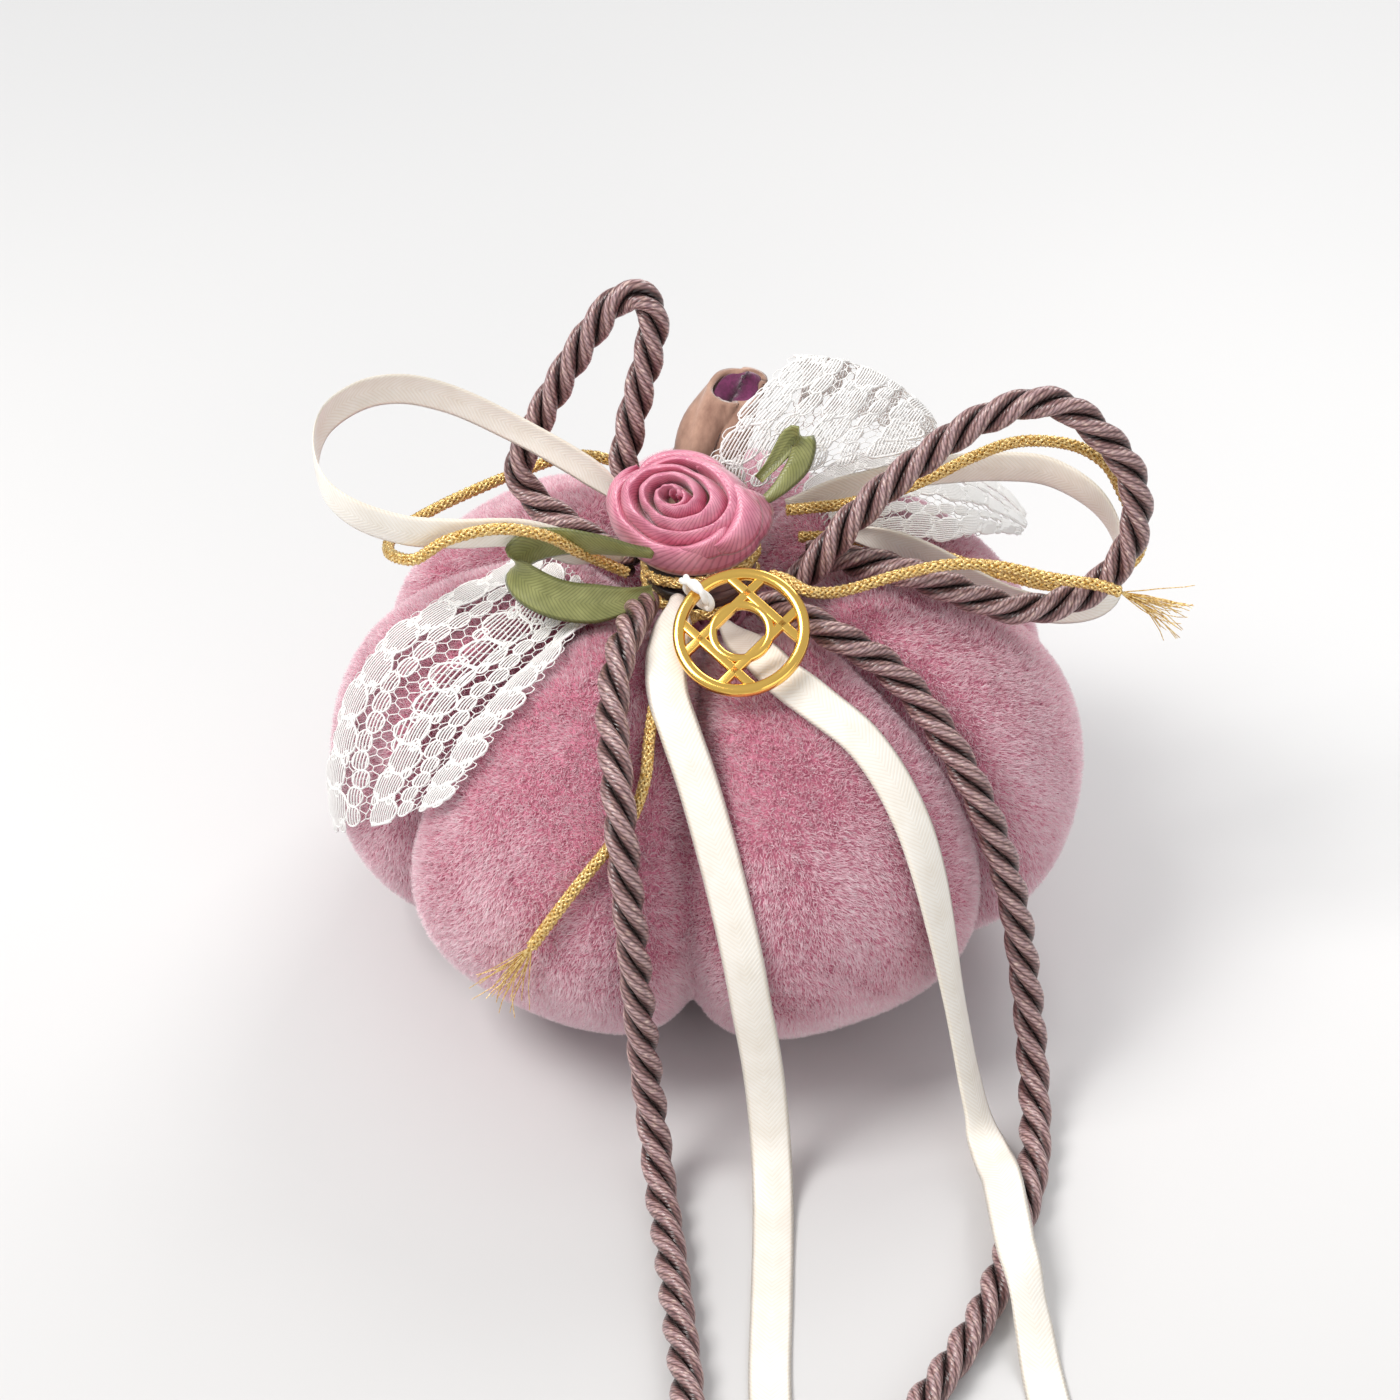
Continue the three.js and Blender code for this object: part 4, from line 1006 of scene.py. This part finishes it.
for patch in PATCHES:
    apart = np.abs((angle - middles[patch] + 180) % 360 - 180)
    mine = np.flatnonzero(keep & (apart <= 45))
    blades = np.stack([roots[mine] - width[mine], roots[mine] + width[mine], tips[mine]], 1)
    mesh = bpy.data.meshes.new(f"pile_{patch}")
    mesh.vertices.add(3 * len(mine))
    mesh.loops.add(3 * len(mine))
    mesh.polygons.add(len(mine))
    mesh.vertices.foreach_set("co", blades.ravel())
    mesh.loops.foreach_set("vertex_index", np.arange(3 * len(mine)))
    mesh.polygons.foreach_set("loop_start", np.arange(0, 3 * len(mine), 3))
    mesh.update(calc_edges=True)
    # The painted shade at the root and the painted highlight at the tip follow this height: 0 at the
    # root and 1 at the tip.
    height = mesh.attributes.new("height", "FLOAT", "POINT")
    height.data.foreach_set("value", np.tile((0.0, 0.0, 1.0), len(mine)))
    glint = mesh.attributes.new("glint", "FLOAT", "POINT")
    glint.data.foreach_set("value", np.repeat(random.random(len(mine)) ** 3, 3))
    piece = placed(f"velvet_pile_{patch}", mesh, velvet_pile, smooth=False)
    piece.parent = cover
    print(f"pile, {patch}: {len(mine)} tufts")

# %% [markdown]
# ## Stitches, stuffing and the gathered mouth
#
# A strong thread is laid in each groove and pulls the lobes apart. The pile closes over it, so it
# is felt more than seen. The fibre inside follows the cover's folds. The bunched threads through
# the middle and the running stitch round the mouth are the frame's own pieces, and only take a
# finish.

# %% Thread, fibre and felt
def matt_fibre(name, pale, deep, scale, stretch=(1, 1, 1), sheen=0.3, depth=0.2):
    """Plain fibrous stuff: mottled colour and a rough, slightly fuzzy face."""
    material, tree = blank_material(name)
    place = node(tree, "ShaderNodeMapping", {"Scale": stretch}, {
        "Vector": node(tree, "ShaderNodeTexCoord").outputs["Object"]})
    grain = node(tree, "ShaderNodeTexNoise", {"Scale": scale, "Detail": 5, "Roughness": 0.65},
                 {"Vector": place.outputs[0]})
    bump = node(tree, "ShaderNodeBump", {"Strength": 0.7, "Distance": depth * MM},
                {"Height": grain.outputs["Fac"]})
    show(tree, node(
        tree, "ShaderNodeBsdfPrincipled",
        {"Roughness": 0.85, "Sheen Weight": sheen, "Sheen Roughness": 0.5},
        {"Base Color": ramp(tree, grain.outputs["Fac"], (0.3, deep), (0.68, pale)),
         "Normal": bump.outputs[0]},
    ).outputs[0])
    return material


polyester_fill = matt_fibre("polyester_fibre_white", "#f6f4f0", "#d9d5ce", 300, (1, 1, 3))
sewing_thread = matt_fibre("spun_polyester_thread_pink", "#c4788f", "#8e4a60", 2500, (1, 1, 0.3))
wool_felt = matt_fibre("wool_felt_plum", "#7d2c60", "#54183f", 1500, sheen=0.5)
for name in ("centre_thread", "gather_thread"):
    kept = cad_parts[name]
    kept.data.materials.clear()
    kept.data.materials.append(sewing_thread)


def filling_place(u, v):
    """The fibre inside the cover, which follows its folds with a little room."""
    azimuth = TIE_LINES[0] + 360 * u
    climb = -88 + 176 * v
    inside = PILE_HEIGHT + 1.4 + GROOVE_FOLD * (1 - fullness(azimuth)) ** 2
    return skin(azimuth, climb, inside + 0.15 * np.sin(azimuth * 0.7) * np.sin(climb * 0.6))


filling = placed("fibre_filling", shaped_grid("fibre_filling", 120, 48, filling_place, round_=True,
                                              ends=True), polyester_fill)
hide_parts("stuffing")

STITCH_RADIUS = 0.4 * MM
for number, tie in enumerate(TIE_LINES[:7], 1):
    climbs = np.linspace(-72, 82, 60)
    line = skin(np.full(60, tie), climbs, PILE_HEIGHT * 0.75 + GROOVE_FOLD - 0.3)
    thread = thread_mesh(f"stitch_{number}", [(line, 1.0)], STITCH_RADIUS, roundness=1)
    stitch = placed(f"groove_stitch_{number}", thread, sewing_thread)
    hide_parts(f"shaping_thread_{number}")

# %% [markdown]
# ## Lace
#
# The lace is a galloon about 28 mm wide: rows of ribbed oval petals on a fine hexagonal net, with
# the pink showing through between the rows. It's drawn flat as threads, in millimetres across and
# along, and then laid on a curved strip between two edges: over the pillow on both sides, and
# folded up behind the rose.

# %% Lace edges
LACE_BRIDGE = 0.6  # how far the lace spans a groove rather than sink into it
LACE_ON_LEFT = (
    [(160, 69, 1.4), (178, 65, 1.4), (183, 58, 1.4), (184, 50, 1.4), (185, 41, 1.4), (187, 32, 1.4),
     (190, 23, 1.4), (193, 14, 1.4), (195, 5, 1.4), (197, -6, 1.4)],
    [(205, 77, 1.4), (216, 74, 1.4), (222, 70, 1.4), (226, 64, 1.4), (227.5, 58, 1.4),
     (227.5, 52, 1.4), (227, 46, 1.4), (227, 40, 1.4), (226, 34, 1.4), (225, 29, 1.4)],
)
LACE_ON_RIGHT = (
    [(10, 75, 1.4), (17, 70, 1.4), (19, 63, 1.4), (20, 55, 1.5), (23, 46, 2), (26, 38, 3),
     (28, 29, 5)],
    [(50, 72, 2.5), (49, 65, 4), (48, 56, 6), (45, 48, 8), (40, 41, 9), (35, 35, 9), (30, 29, 8)],
)
LACE_STANDING = (
    [(-1, 6.5, 73.5), (0, 7.2, 78), (3.5, 9.3, 84), (8.5, 12, 89), (12.5, 16.5, 91), (14, 21, 87),
     (13.5, 24.5, 78), (11, 26, 69)],
    [(31, 7.5, 79.5), (32, 9.5, 80.5), (33, 12, 81), (34, 15, 80.5), (35, 18, 78.5), (35.5, 21, 75),
     (35, 24, 71), (33.5, 26, 67)],
)
STANDING_CROWN = 3 * MM


def lace_on_skin(edges):
    """Where a share across and a share along a strip lie, for lace resting on the pillow."""
    def place(across, lengthwise, height):
        near, far = (spline_at(edge, lengthwise) for edge in edges)
        spot = near + (far - near) * across[:, None]
        out = skin_normal(spot[:, 0], spot[:, 1], LACE_BRIDGE)
        lift = (spot[:, 2] * MM + height)[:, None]
        return skin(spot[:, 0], spot[:, 1], 0, LACE_BRIDGE) + out * lift
    return place


def lace_in_air(edges):
    """The same for lace that stands free."""
    def place(across, lengthwise, height):
        near, far = (spline_at(edge, lengthwise) * MM for edge in edges)
        ahead = [spline_at(edge, np.minimum(lengthwise + 0.01, 1)) * MM for edge in edges]
        behind = [spline_at(edge, np.maximum(lengthwise - 0.01, 0)) * MM for edge in edges]
        share = across[:, None]
        heading = (ahead[0] - behind[0]) * (1 - share) + (ahead[1] - behind[1]) * share
        out = unit(np.cross(far - near, heading))
        crown = STANDING_CROWN * 4 * across * (1 - across)
        return near + (far - near) * share + out * (crown + height)[:, None]
    return place


# %% Lace threads
LACE_WIDTH = 28.0  # flat sizes of the lace are in millimetres
BIG_ROWS = (3.0, 13.6, 24.6)
SMALL_ROWS = (7.6, 18.6)
BIG_PETAL = (3.0, 2.75)  # half length and half width
SMALL_PETAL = (1.75, 1.25)
RIB_SPACING = 0.48
RIB_THREAD = 0.165
NET_THREAD = 0.09
EDGE_THREAD = 0.22  # the cord round a big petal
NET_CELL = 1.5


def petal(along_at, across_at, half_long, half_wide):
    """A ribbed oval: threads side by side that swell in the middle, and a cord round them."""
    threads = []
    for off in np.arange(-half_wide + 0.3, half_wide - 0.2, RIB_SPACING):
        reach = half_long * math.sqrt(1 - (off / half_wide) ** 2) * random.uniform(0.9, 1.02)
        s = np.linspace(-reach, reach, 5)
        lift = 0.26 * (1 - (s / half_long) ** 2)
        threads.append((along_at + s, across_at + off + 0 * s, lift, RIB_THREAD))
    turn = np.linspace(0, 2 * np.pi, 17)
    wobble = 1 + 0.05 * np.sin(3 * turn + random.uniform(0, 6))
    threads.append((along_at + half_long * wobble * np.cos(turn),
                    across_at + half_wide * wobble * np.sin(turn), 0.12 + 0 * turn,
                    EDGE_THREAD if half_long > 2 else RIB_THREAD))
    return threads


def lace_pattern(length):
    """The flat lace: a list of threads, each with places along, across and above, and a radius."""
    threads = []
    for row, across_at in enumerate(BIG_ROWS):
        pitch = 5.6
        for k in range(int(length / pitch)):
            along_at = 2.9 + pitch * k + (row % 2) * 1.6
            if along_at + BIG_PETAL[0] > length + 1.2:
                continue
            near = across_at + (0.5 if k % 2 else -0.35)
            threads += petal(along_at, near, BIG_PETAL[0], BIG_PETAL[1] * random.uniform(0.92, 1.05))
            threads += petal(along_at + pitch / 2, near + (1.6 if row == 1 else 1.2), 1.15, 0.75)
            threads += petal(along_at + pitch / 2, near - 1.7, 1.15, 0.75)
    for row, across_at in enumerate(SMALL_ROWS):
        pitch = 3.3
        for k in range(int(length / pitch)):
            along_at = 1.8 + pitch * k
            sway = 0.45 * math.sin(k * 1.9 + row)
            threads += petal(along_at, across_at + sway, *SMALL_PETAL)
    s = np.arange(0, length - 1.2, NET_CELL / 6)
    wave = np.clip(1.6 * np.sin(2 * np.pi * s / (2 * NET_CELL)), -1, 1)
    for k in range(int(LACE_WIDTH / (NET_CELL * 0.62))):
        sign = 1 if k % 2 else -1
        line = 0.5 + k * NET_CELL * 0.62 + sign * wave * NET_CELL * 0.31
        threads.append((s, line, 0 * s, NET_THREAD))
    return threads


lace_thread, tree = blank_material("polyester_lace_thread_white")  # bright, slightly glossy filament
show(tree, node(
    tree, "ShaderNodeBsdfPrincipled",
    {"Base Color": linear("#fbf9f7"), "Roughness": 0.42, "Sheen Weight": 0.3,
     "Subsurface Weight": 0.12, "Subsurface Radius": (0.001, 0.001, 0.001)},
).outputs[0])


def lace_piece(name, replaced, place):
    steps = np.linspace(0, 1, 120)
    edges = [place(np.full(120, across), steps, np.zeros(120)) for across in (0.0, 1.0)]
    length = sum(along(edge)[-1] for edge in edges) / 2 / MM
    ground, ribs = [], []
    for s, across, lift, radius in lace_pattern(length):
        share = np.clip(across / LACE_WIDTH, -0.04, 1.04)
        line = place(share, np.clip(s / length, 0, 1), (lift - 0.12) * MM)
        (ribs if radius == RIB_THREAD else ground).append((line, radius / 0.2))
    for part, strands in (("net", ground), ("ribs", ribs)):
        mesh = thread_mesh(f"{name}_{part}", strands, 0.2 * MM, roundness=0)
        placed(f"{name}_{part}", mesh, lace_thread)
        print(f"{name}_{part}: {len(strands)} threads, {len(mesh.polygons)} faces")
    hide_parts(replaced)
    print(f"{name}: flat {LACE_WIDTH:.0f} by {length:.0f} mm")


lace_piece("lace_left", "lace_tail_left", lace_on_skin(LACE_ON_LEFT))
lace_piece("lace_right", "lace_tail_right", lace_on_skin(LACE_ON_RIGHT))
lace_piece("lace_standing", "lace_loop", lace_in_air(LACE_STANDING))

# %% [markdown]
# ## Suede stem
#
# The pumpkin's stem is a strip of tan suede rolled round a plum felt core. Its free edge overlaps
# along the front, it's creased where fingers have pressed it, and its tip is cut at a slant.

# %% Stem
STEM_ROUTE = [(0, 14.5, 64.5), (-0.3, 14.6, 70), (0.8, 14.9, 76), (2.8, 15.5, 81.5), (6.2, 18, 88)]
STEM_RADIUS = 7 * MM
STEM_TIP_RADIUS = 4.6 * MM
STEM_TIP_OVAL = 0.5
SUEDE = 0.9 * MM
ROLL_TURNS = 1.22
CREASES = ((-2.1, 0.9, 1.0), (-1.3, -0.5, 0.8), (-0.5, 0.7, 0.7), (1.4, 0.4, 0.8))
CUT_SLOPE = 0.09  # how much lower the tip is cut in front
SEAM_AT = -2.3  # radians round the roll, towards the front left


def stem_place(u, v):
    """The rolled strip: u runs round the roll and v from its foot to its cut tip."""
    round_ = SEAM_AT + 2 * np.pi * ROLL_TURNS * u
    up = v * (1 - CUT_SLOPE * v * (1 - np.sin(round_ + 0.5)))
    return stem_point(round_, up, SUEDE * 0.95 * (u * ROLL_TURNS - 0.6) - SUEDE)


def stem_point(round_, up, outset):
    """A point on the stem: an angle, a share of the way up and how far out of its outline."""
    route = spline_at(STEM_ROUTE, up) * MM
    ahead = spline_at(STEM_ROUTE, np.minimum(up + 0.02, 1)) * MM
    behind = spline_at(STEM_ROUTE, np.maximum(up - 0.02, 0)) * MM
    way = unit(ahead - behind)
    side = unit(np.array((1.0, 0, 0)) - way * way[:, :1])
    face = np.cross(way, side)
    radius = STEM_RADIUS + (STEM_TIP_RADIUS - STEM_RADIUS) * up + outset
    radius = radius + 0.35 * MM * np.sin(5 * round_ + 9 * up) * np.sin(7 * up + round_)
    for where, drift, deep in CREASES:
        apart = (round_ - where - drift * up + np.pi) % (2 * np.pi) - np.pi
        radius = radius - deep * MM * np.exp(-((apart / 0.16) ** 2)) * np.clip(3 * up, 0, 1)
    radius = radius + 0.25 * MM * np.sin(13 * up + 2 * round_)
    oval = 1 + (STEM_TIP_OVAL - 1) * up
    return (route + side * (radius * np.cos(round_))[:, None]
            + face * (radius * oval * np.sin(round_))[:, None])


def core_place(u, v):
    """The felt inside, closed at the top just under the suede's cut edge."""
    round_ = 2 * np.pi * u
    up = np.minimum(v / 0.9, 1) * (1 - CUT_SLOPE * (1 - np.sin(round_ + 0.5))) * 0.985
    closing = np.clip((1 - v) / 0.1, 0, 1) ** 0.5
    radius = STEM_RADIUS + (STEM_TIP_RADIUS - STEM_RADIUS) * up
    return stem_point(round_, up, -1.75 * SUEDE - (radius - 1.9 * SUEDE) * (1 - closing))


# The dark lengthwise streaks in the suede's mottle are partly its own tone and partly painted shade for
# creases.
suede = matt_fibre("split_suede_tan", "#d0a791", "#7d5848", 210, (1, 1, 0.35), sheen=0.6, depth=0.4)
core = placed("stem_core_felt", shaped_grid("stem_core_felt", 60, 40, core_place, round_=True,
                                            ends=True), wool_felt)
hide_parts("stem_core")
stem = placed("stem_rolled", shaped_grid("stem_rolled", 90, 40, stem_place), suede)
wall = stem.modifiers.new("suede", "SOLIDIFY")
wall.thickness = SUEDE
wall.offset = 0
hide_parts("stem_wrap")

# %% [markdown]
# ## Ribbon rose and leaves
#
# The rose is one satin ribbon folded double and wound into a spiral. Near the middle the folds stand
# up and lie close; outwards they lean, widen and break into petals. Each fold is a rounded lip
# that goes up on the inside, over, and down again on the outside. The leaves are loops of olive ribbon.

# %% Rose
ROSE_PLACE = np.array((-4, -2.5, 77.5)) * MM
ROSE_FACING = unit(np.array((-0.26, -0.545, 0.797)))
ROSE_RIGHT = unit(np.cross((0, 0, 1), ROSE_FACING))
ROSE_UP = np.cross(ROSE_FACING, ROSE_RIGHT)
ROSE_TURNS = 4.1
ROSE_RADIUS = 10.9 * MM
FOLD = 2.0 * MM


def rose_space(x, y, z):
    """From the rose's own face, with z towards the viewer, to the frame."""
    return (ROSE_PLACE + ROSE_RIGHT * x[:, None] + ROSE_UP * y[:, None] + ROSE_FACING * z[:, None])


def spiral_place(u, v):
    """The wound ribbon: v runs along it from the middle, and u over its fold."""
    turn = v * ROSE_TURNS * 2 * np.pi
    out = v**0.92
    petal_wave = np.abs(np.sin(turn * 0.85 + 0.7)) ** 0.8
    middle = 0.7 * MM + ROSE_RADIUS * out * (0.78 + 0.14 * petal_wave * out)
    crest = 5.0 * MM - 5.0 * MM * out**2 + 1.3 * MM * out * petal_wave
    wide = FOLD * (0.55 + 1.1 * out) * (0.75 + 0.4 * petal_wave)
    arch = (u - 0.45) / 0.55
    radius = middle + wide * 0.62 * arch + 0.25 * wide * np.abs(arch)
    drop = np.where(arch < 0, 6.5, 2.0 + 4.5 * out) * MM
    height = crest - drop * np.abs(arch) ** 2.2 + 0.12 * MM * np.sin(9 * turn + 6 * u)
    squash = 1 + 0.07 * np.sin(2 * turn + 1.1)
    return rose_space(radius * squash * np.cos(turn), radius * 0.75 * np.sin(turn), height)


PETALS = (  # angle in degrees, spread, radius, height and width in millimetres
    (0, 350, 1.2, 3.1, 2.0),
    (4, 90, 9.5, 1.3, 5.0),
    (-40, 70, 8.6, 1.0, 3.6),
    (-70, 84, 9.0, -0.4, 4.6),
    (52, 64, 8.2, 1.2, 3.4),
    (112, 92, 9.2, -0.8, 4.4),
    (196, 96, 9.5, -0.9, 4.4),
    (-122, 80, 8.9, -1.2, 4.4),
)


def outer_petal(angle, spread, radius, height, width):
    """A folded petal that overlaps the spiral's last turn."""
    def place(u, v):
        turn = np.radians(angle + spread * (v - 0.5))
        arch = (u - 0.5) * 2
        close = np.sin(np.pi * np.clip(v, 0.02, 0.98)) ** 0.45
        out = (radius + width * 0.5 * arch * close + 0.8 * close - 1.4 * (v - 0.4)) * MM
        up = (height + 1.3 * close - (1.5 + 3.4 * np.abs(arch) ** 2.2)) * MM
        return rose_space(out * 1.03 * np.cos(turn), out * 0.76 * np.sin(turn), up + 1.6 * MM)
    return place


rose_ribbon = ribbon_satin("polyester_satin_ribbon_rose", "#eea0b6", "#d07390", "#8e3a58",
                           0.42 * MM, 0.27, 9 * MM)
turns = [shaped_grid("rose_spiral", 26, 330, spiral_place, size=(9 * MM, 190 * MM))]
for number, shape in enumerate(PETALS):
    turns.append(shaped_grid(f"rose_petal_{number}", 22, 40, outer_petal(*shape),
                             size=(9 * MM, 16 * MM)))
rose = placed("rose_folded", one_mesh("rose_folded", turns), rose_ribbon)
cloth_wall = rose.modifiers.new("ribbon", "SOLIDIFY")
cloth_wall.thickness = 0.3 * MM
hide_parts("ribbon_rose")

# %% Leaves
LEAF_RIBBON = 6 * MM
LEAF_LOOPS = {  # a route out and back, and the way that the ribbon's width faces
    "leaf_left": ([(-8, -12, 68.2), (-13, -13.4, 67.7), (-18.5, -14.2, 67.9), (-23.5, -13.8, 69),
                   (-27.2, -12, 70.6), (-28.4, -10, 72.4), (-26.4, -8.6, 73.8), (-22, -8.2, 74.6),
                   (-16.5, -8.6, 74.4), (-11.5, -8.6, 73.4), (-8.2, -8, 72.5)],
                  [(0.1, 0.63, 0.78), (0.15, 0.63, 0.78), (0.1, 0.5, 0.85), (0, 0, 1),
                   (0, -0.4, 0.92), (0, -0.45, 0.9)]),
    "leaf_right": ([(7.4, -1.2, 76.4), (9.6, -0.6, 77.8), (11.8, 0.6, 79.6), (13.8, 2.2, 82),
                    (14.2, 3.8, 84.6), (13, 4.4, 84.9), (11.4, 3.8, 83.2), (9.8, 2.8, 81.2),
                    (7.6, 1.4, 79.2)],
                   [(-0.8, 0.38, 0.46), (-0.83, 0.35, 0.43), (-0.83, 0.35, 0.43)]),
}
leaf_ribbon = ribbon_satin("polyester_satin_ribbon_olive", "#9a9c60", "#787b43", "#55582b",
                           0.32 * MM, 0.38, LEAF_RIBBON)
for name, (points, side_ways) in LEAF_LOOPS.items():
    line = even_line(points, 0.5 * MM)
    wide = LEAF_RIBBON if name == "leaf_left" else LEAF_RIBBON * 0.62
    mesh = ribbon_mesh(name, line, side_ways, wide, (True, True), half=0.15 * MM)
    leaf = placed(f"{name}_ribbon", mesh, leaf_ribbon)
    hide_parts(name)

# %% [markdown]
# ## Charm on its cord
#
# The gold charm is a cast ring with flat bars and a small inner ring. It's polished all over and
# its edges are rounded by the polishing. It hangs by its rim in a loop of white satin cord, which
# swings, and the loop hangs on a fixed tie.

# %% Charm
EYELET = np.array((-1.5, -17.9, 72.6)) * MM
CHARM_MIDDLE = np.array((5, -24, 70)) * MM
CHARM_FACING = np.array((-0.1, -0.5, 0.86))
CHARM_RADIUS = 10 * MM
CHARM_RIM = 1.8 * MM
CHARM_BAR = 1.4 * MM
INNER_RING = 4.2 * MM
CROSS_BARS = 3.6 * MM
LONG_BARS = 4.9 * MM
SQUARENESS = 0.72  # 1 is a round section, and less is squarer
rim_radius = CHARM_RADIUS - CHARM_RIM / 2
charm_out = unit(EYELET - CHARM_MIDDLE)
charm_face = unit(CHARM_FACING - charm_out * (CHARM_FACING @ charm_out))
charm_side = np.cross(charm_face, charm_out)
charm_centre = EYELET - charm_out * rim_radius
charm_space = Matrix.LocRotScale(
    Vector(charm_centre), Matrix(np.column_stack([charm_out, charm_side, charm_face]).tolist()), None)

polished_gold, tree = blank_material("polished_gold_plate")  # bright plating over cast zinc
place = node(tree, "ShaderNodeTexCoord").outputs["Object"]
cast = node(tree, "ShaderNodeTexNoise", {"Scale": 260, "Detail": 2}, {"Vector": place})
bump = node(tree, "ShaderNodeBump", {"Strength": 0.15, "Distance": 0.15 * MM},
            {"Height": cast.outputs["Fac"]})
show(tree, node(
    tree, "ShaderNodeBsdfPrincipled",
    {"Base Color": linear("#ffcf6b"), "Metallic": 1, "Roughness": 0.14},
    {"Normal": bump.outputs[0]},
).outputs[0])


def ring_place(radius, half_wide, half_deep):
    """A ring with a rounded, slightly square section."""
    def place(u, v):
        turn, section = 2 * np.pi * u, 2 * np.pi * v
        off, high = (np.sign(wave) * np.abs(wave) ** SQUARENESS * half
                     for wave, half in ((np.cos(section), half_wide), (np.sin(section), half_deep)))
        return np.column_stack([(radius + off) * np.cos(turn), (radius + off) * np.sin(turn), high])
    return place


def bar_mesh(name, offset, crosswise):
    """A flat bar across the charm at an offset from its middle, with eased edges."""
    length = 2 * math.sqrt(rim_radius**2 - offset**2)
    bm = bmesh.new()
    bmesh.ops.create_cube(bm, size=1)
    size = (CHARM_BAR, length, CHARM_BAR * 0.8) if crosswise else (length, CHARM_BAR, CHARM_BAR * 0.8)
    bmesh.ops.scale(bm, vec=size, verts=bm.verts)
    bmesh.ops.bevel(bm, geom=bm.edges[:], offset=0.28 * MM, segments=3, profile=0.6, affect="EDGES")
    shift = (offset, 0, 0) if crosswise else (0, offset, 0)
    bmesh.ops.translate(bm, vec=shift, verts=bm.verts)
    return made_mesh(bm, name)


metal = [
    shaped_grid("rim", 120, 20, ring_place(rim_radius, CHARM_RIM * 0.5, CHARM_RIM * 0.5), round_=True),
    shaped_grid("ring", 72, 16, ring_place(INNER_RING, CHARM_BAR * 0.5, CHARM_BAR * 0.42),
                round_=True),
]
for sign in (-1, 1):
    metal.append(bar_mesh(f"cross_bar_{sign}", sign * CROSS_BARS, True))
    metal.append(bar_mesh(f"long_bar_{sign}", sign * LONG_BARS, False))
charm_mesh = one_mesh("charm", metal)
charm_mesh.transform(charm_space)
charm = placed("charm_openwork", charm_mesh, polished_gold, body="charm")
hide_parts("charm")

# %% White satin cord
white_satin = matt_fibre("satin_cord_white", "#ffffff", "#e9e4dd", 900, sheen=0.4, depth=0.08)
CORD = 1.6 * MM
LOOP_RADIUS = CHARM_RIM / 2 + 1.0 * MM + CORD / 2


def two_ply(name, line, radius, lay):
    """Two threads laid round each other along a line."""
    sides = steady_sides(line)
    ups = np.cross(headings(line), sides)
    turn = 2 * np.pi * along(line) / lay
    strands = []
    for phase in (0, np.pi):
        angle = (turn + phase)[:, None]
        strands.append((line + radius * 0.42 * (np.cos(angle) * sides + np.sin(angle) * ups), 1.0))
    return thread_mesh(name, strands, radius * 0.6, roundness=3)


swing = np.linspace(0, 2 * np.pi, 90)[:, None]
circle = EYELET + LOOP_RADIUS * (charm_out * np.cos(swing) + charm_face * np.sin(swing))
loop_cord = placed("charm_cord_loop", two_ply("charm_cord_loop", circle, CORD / 2,
                                              2 * np.pi * LOOP_RADIUS / 3),
                   white_satin, body="loop")
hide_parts("charm_loop")
TIE_ROOT = np.array((-1.4, -10.2, 67.8)) * MM
back = unit(TIE_ROOT - EYELET)
tie_start = EYELET + back * (LOOP_RADIUS + CORD / 2 + 0.3 * MM)
tie_line = tie_start + (TIE_ROOT - tie_start) * np.linspace(0, 1, 24)[:, None]
tie_cord = placed("charm_cord_tie", two_ply("charm_cord_tie", tie_line, CORD / 2, 4.2 * MM),
                  white_satin)
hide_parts("charm_tie")

# %% [markdown]
# ## The bow's knot
#
# Everything is tied together under the rose: turns of cord and of braid are wound round the waist
# of the knot.

# %% Bow knot
KNOT_MIDDLE = np.array((-1, -1, 65)) * MM
KNOT_HALF = np.array((8.5, 7.8, 5.7)) * MM


def wound_turns(share_high, radius, count, tilt, lift=0.0):
    """Lines that go round the knot, one above another, each a little tilted."""
    lines = []
    swing = np.linspace(0, 2 * np.pi, 120)
    for k in range(count):
        high = (k / (count - 1) - 0.5) * 2 * share_high
        ring = np.column_stack([np.cos(swing), np.sin(swing), tilt * np.sin(swing + k * 2.1) + high])
        ring[:, :2] *= math.sqrt(max(1 - high**2, 0.1))
        lines.append((KNOT_MIDDLE + ring * (KNOT_HALF - radius + lift), 1.0))
    return lines


knot_mesh = thread_mesh("bow_knot_rope", wound_turns(0.66, 1.6 * MM, 4, 0.12), 1.6 * MM,
                        roundness=4, size=(2 * np.pi * STRAND_RADIUS, 50 * MM))
knot = placed("bow_knot_wound", knot_mesh, rope_satin)
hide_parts("bow_knot")
for number, (line, _) in enumerate(wound_turns(0.3, BRAID / 2, 2, 0.3, 1.1 * MM)):
    turns = braid_mesh(f"bow_knot_braid_{number}", line[::2])
    placed(f"bow_knot_braid_{number}", turns, gold_thread)
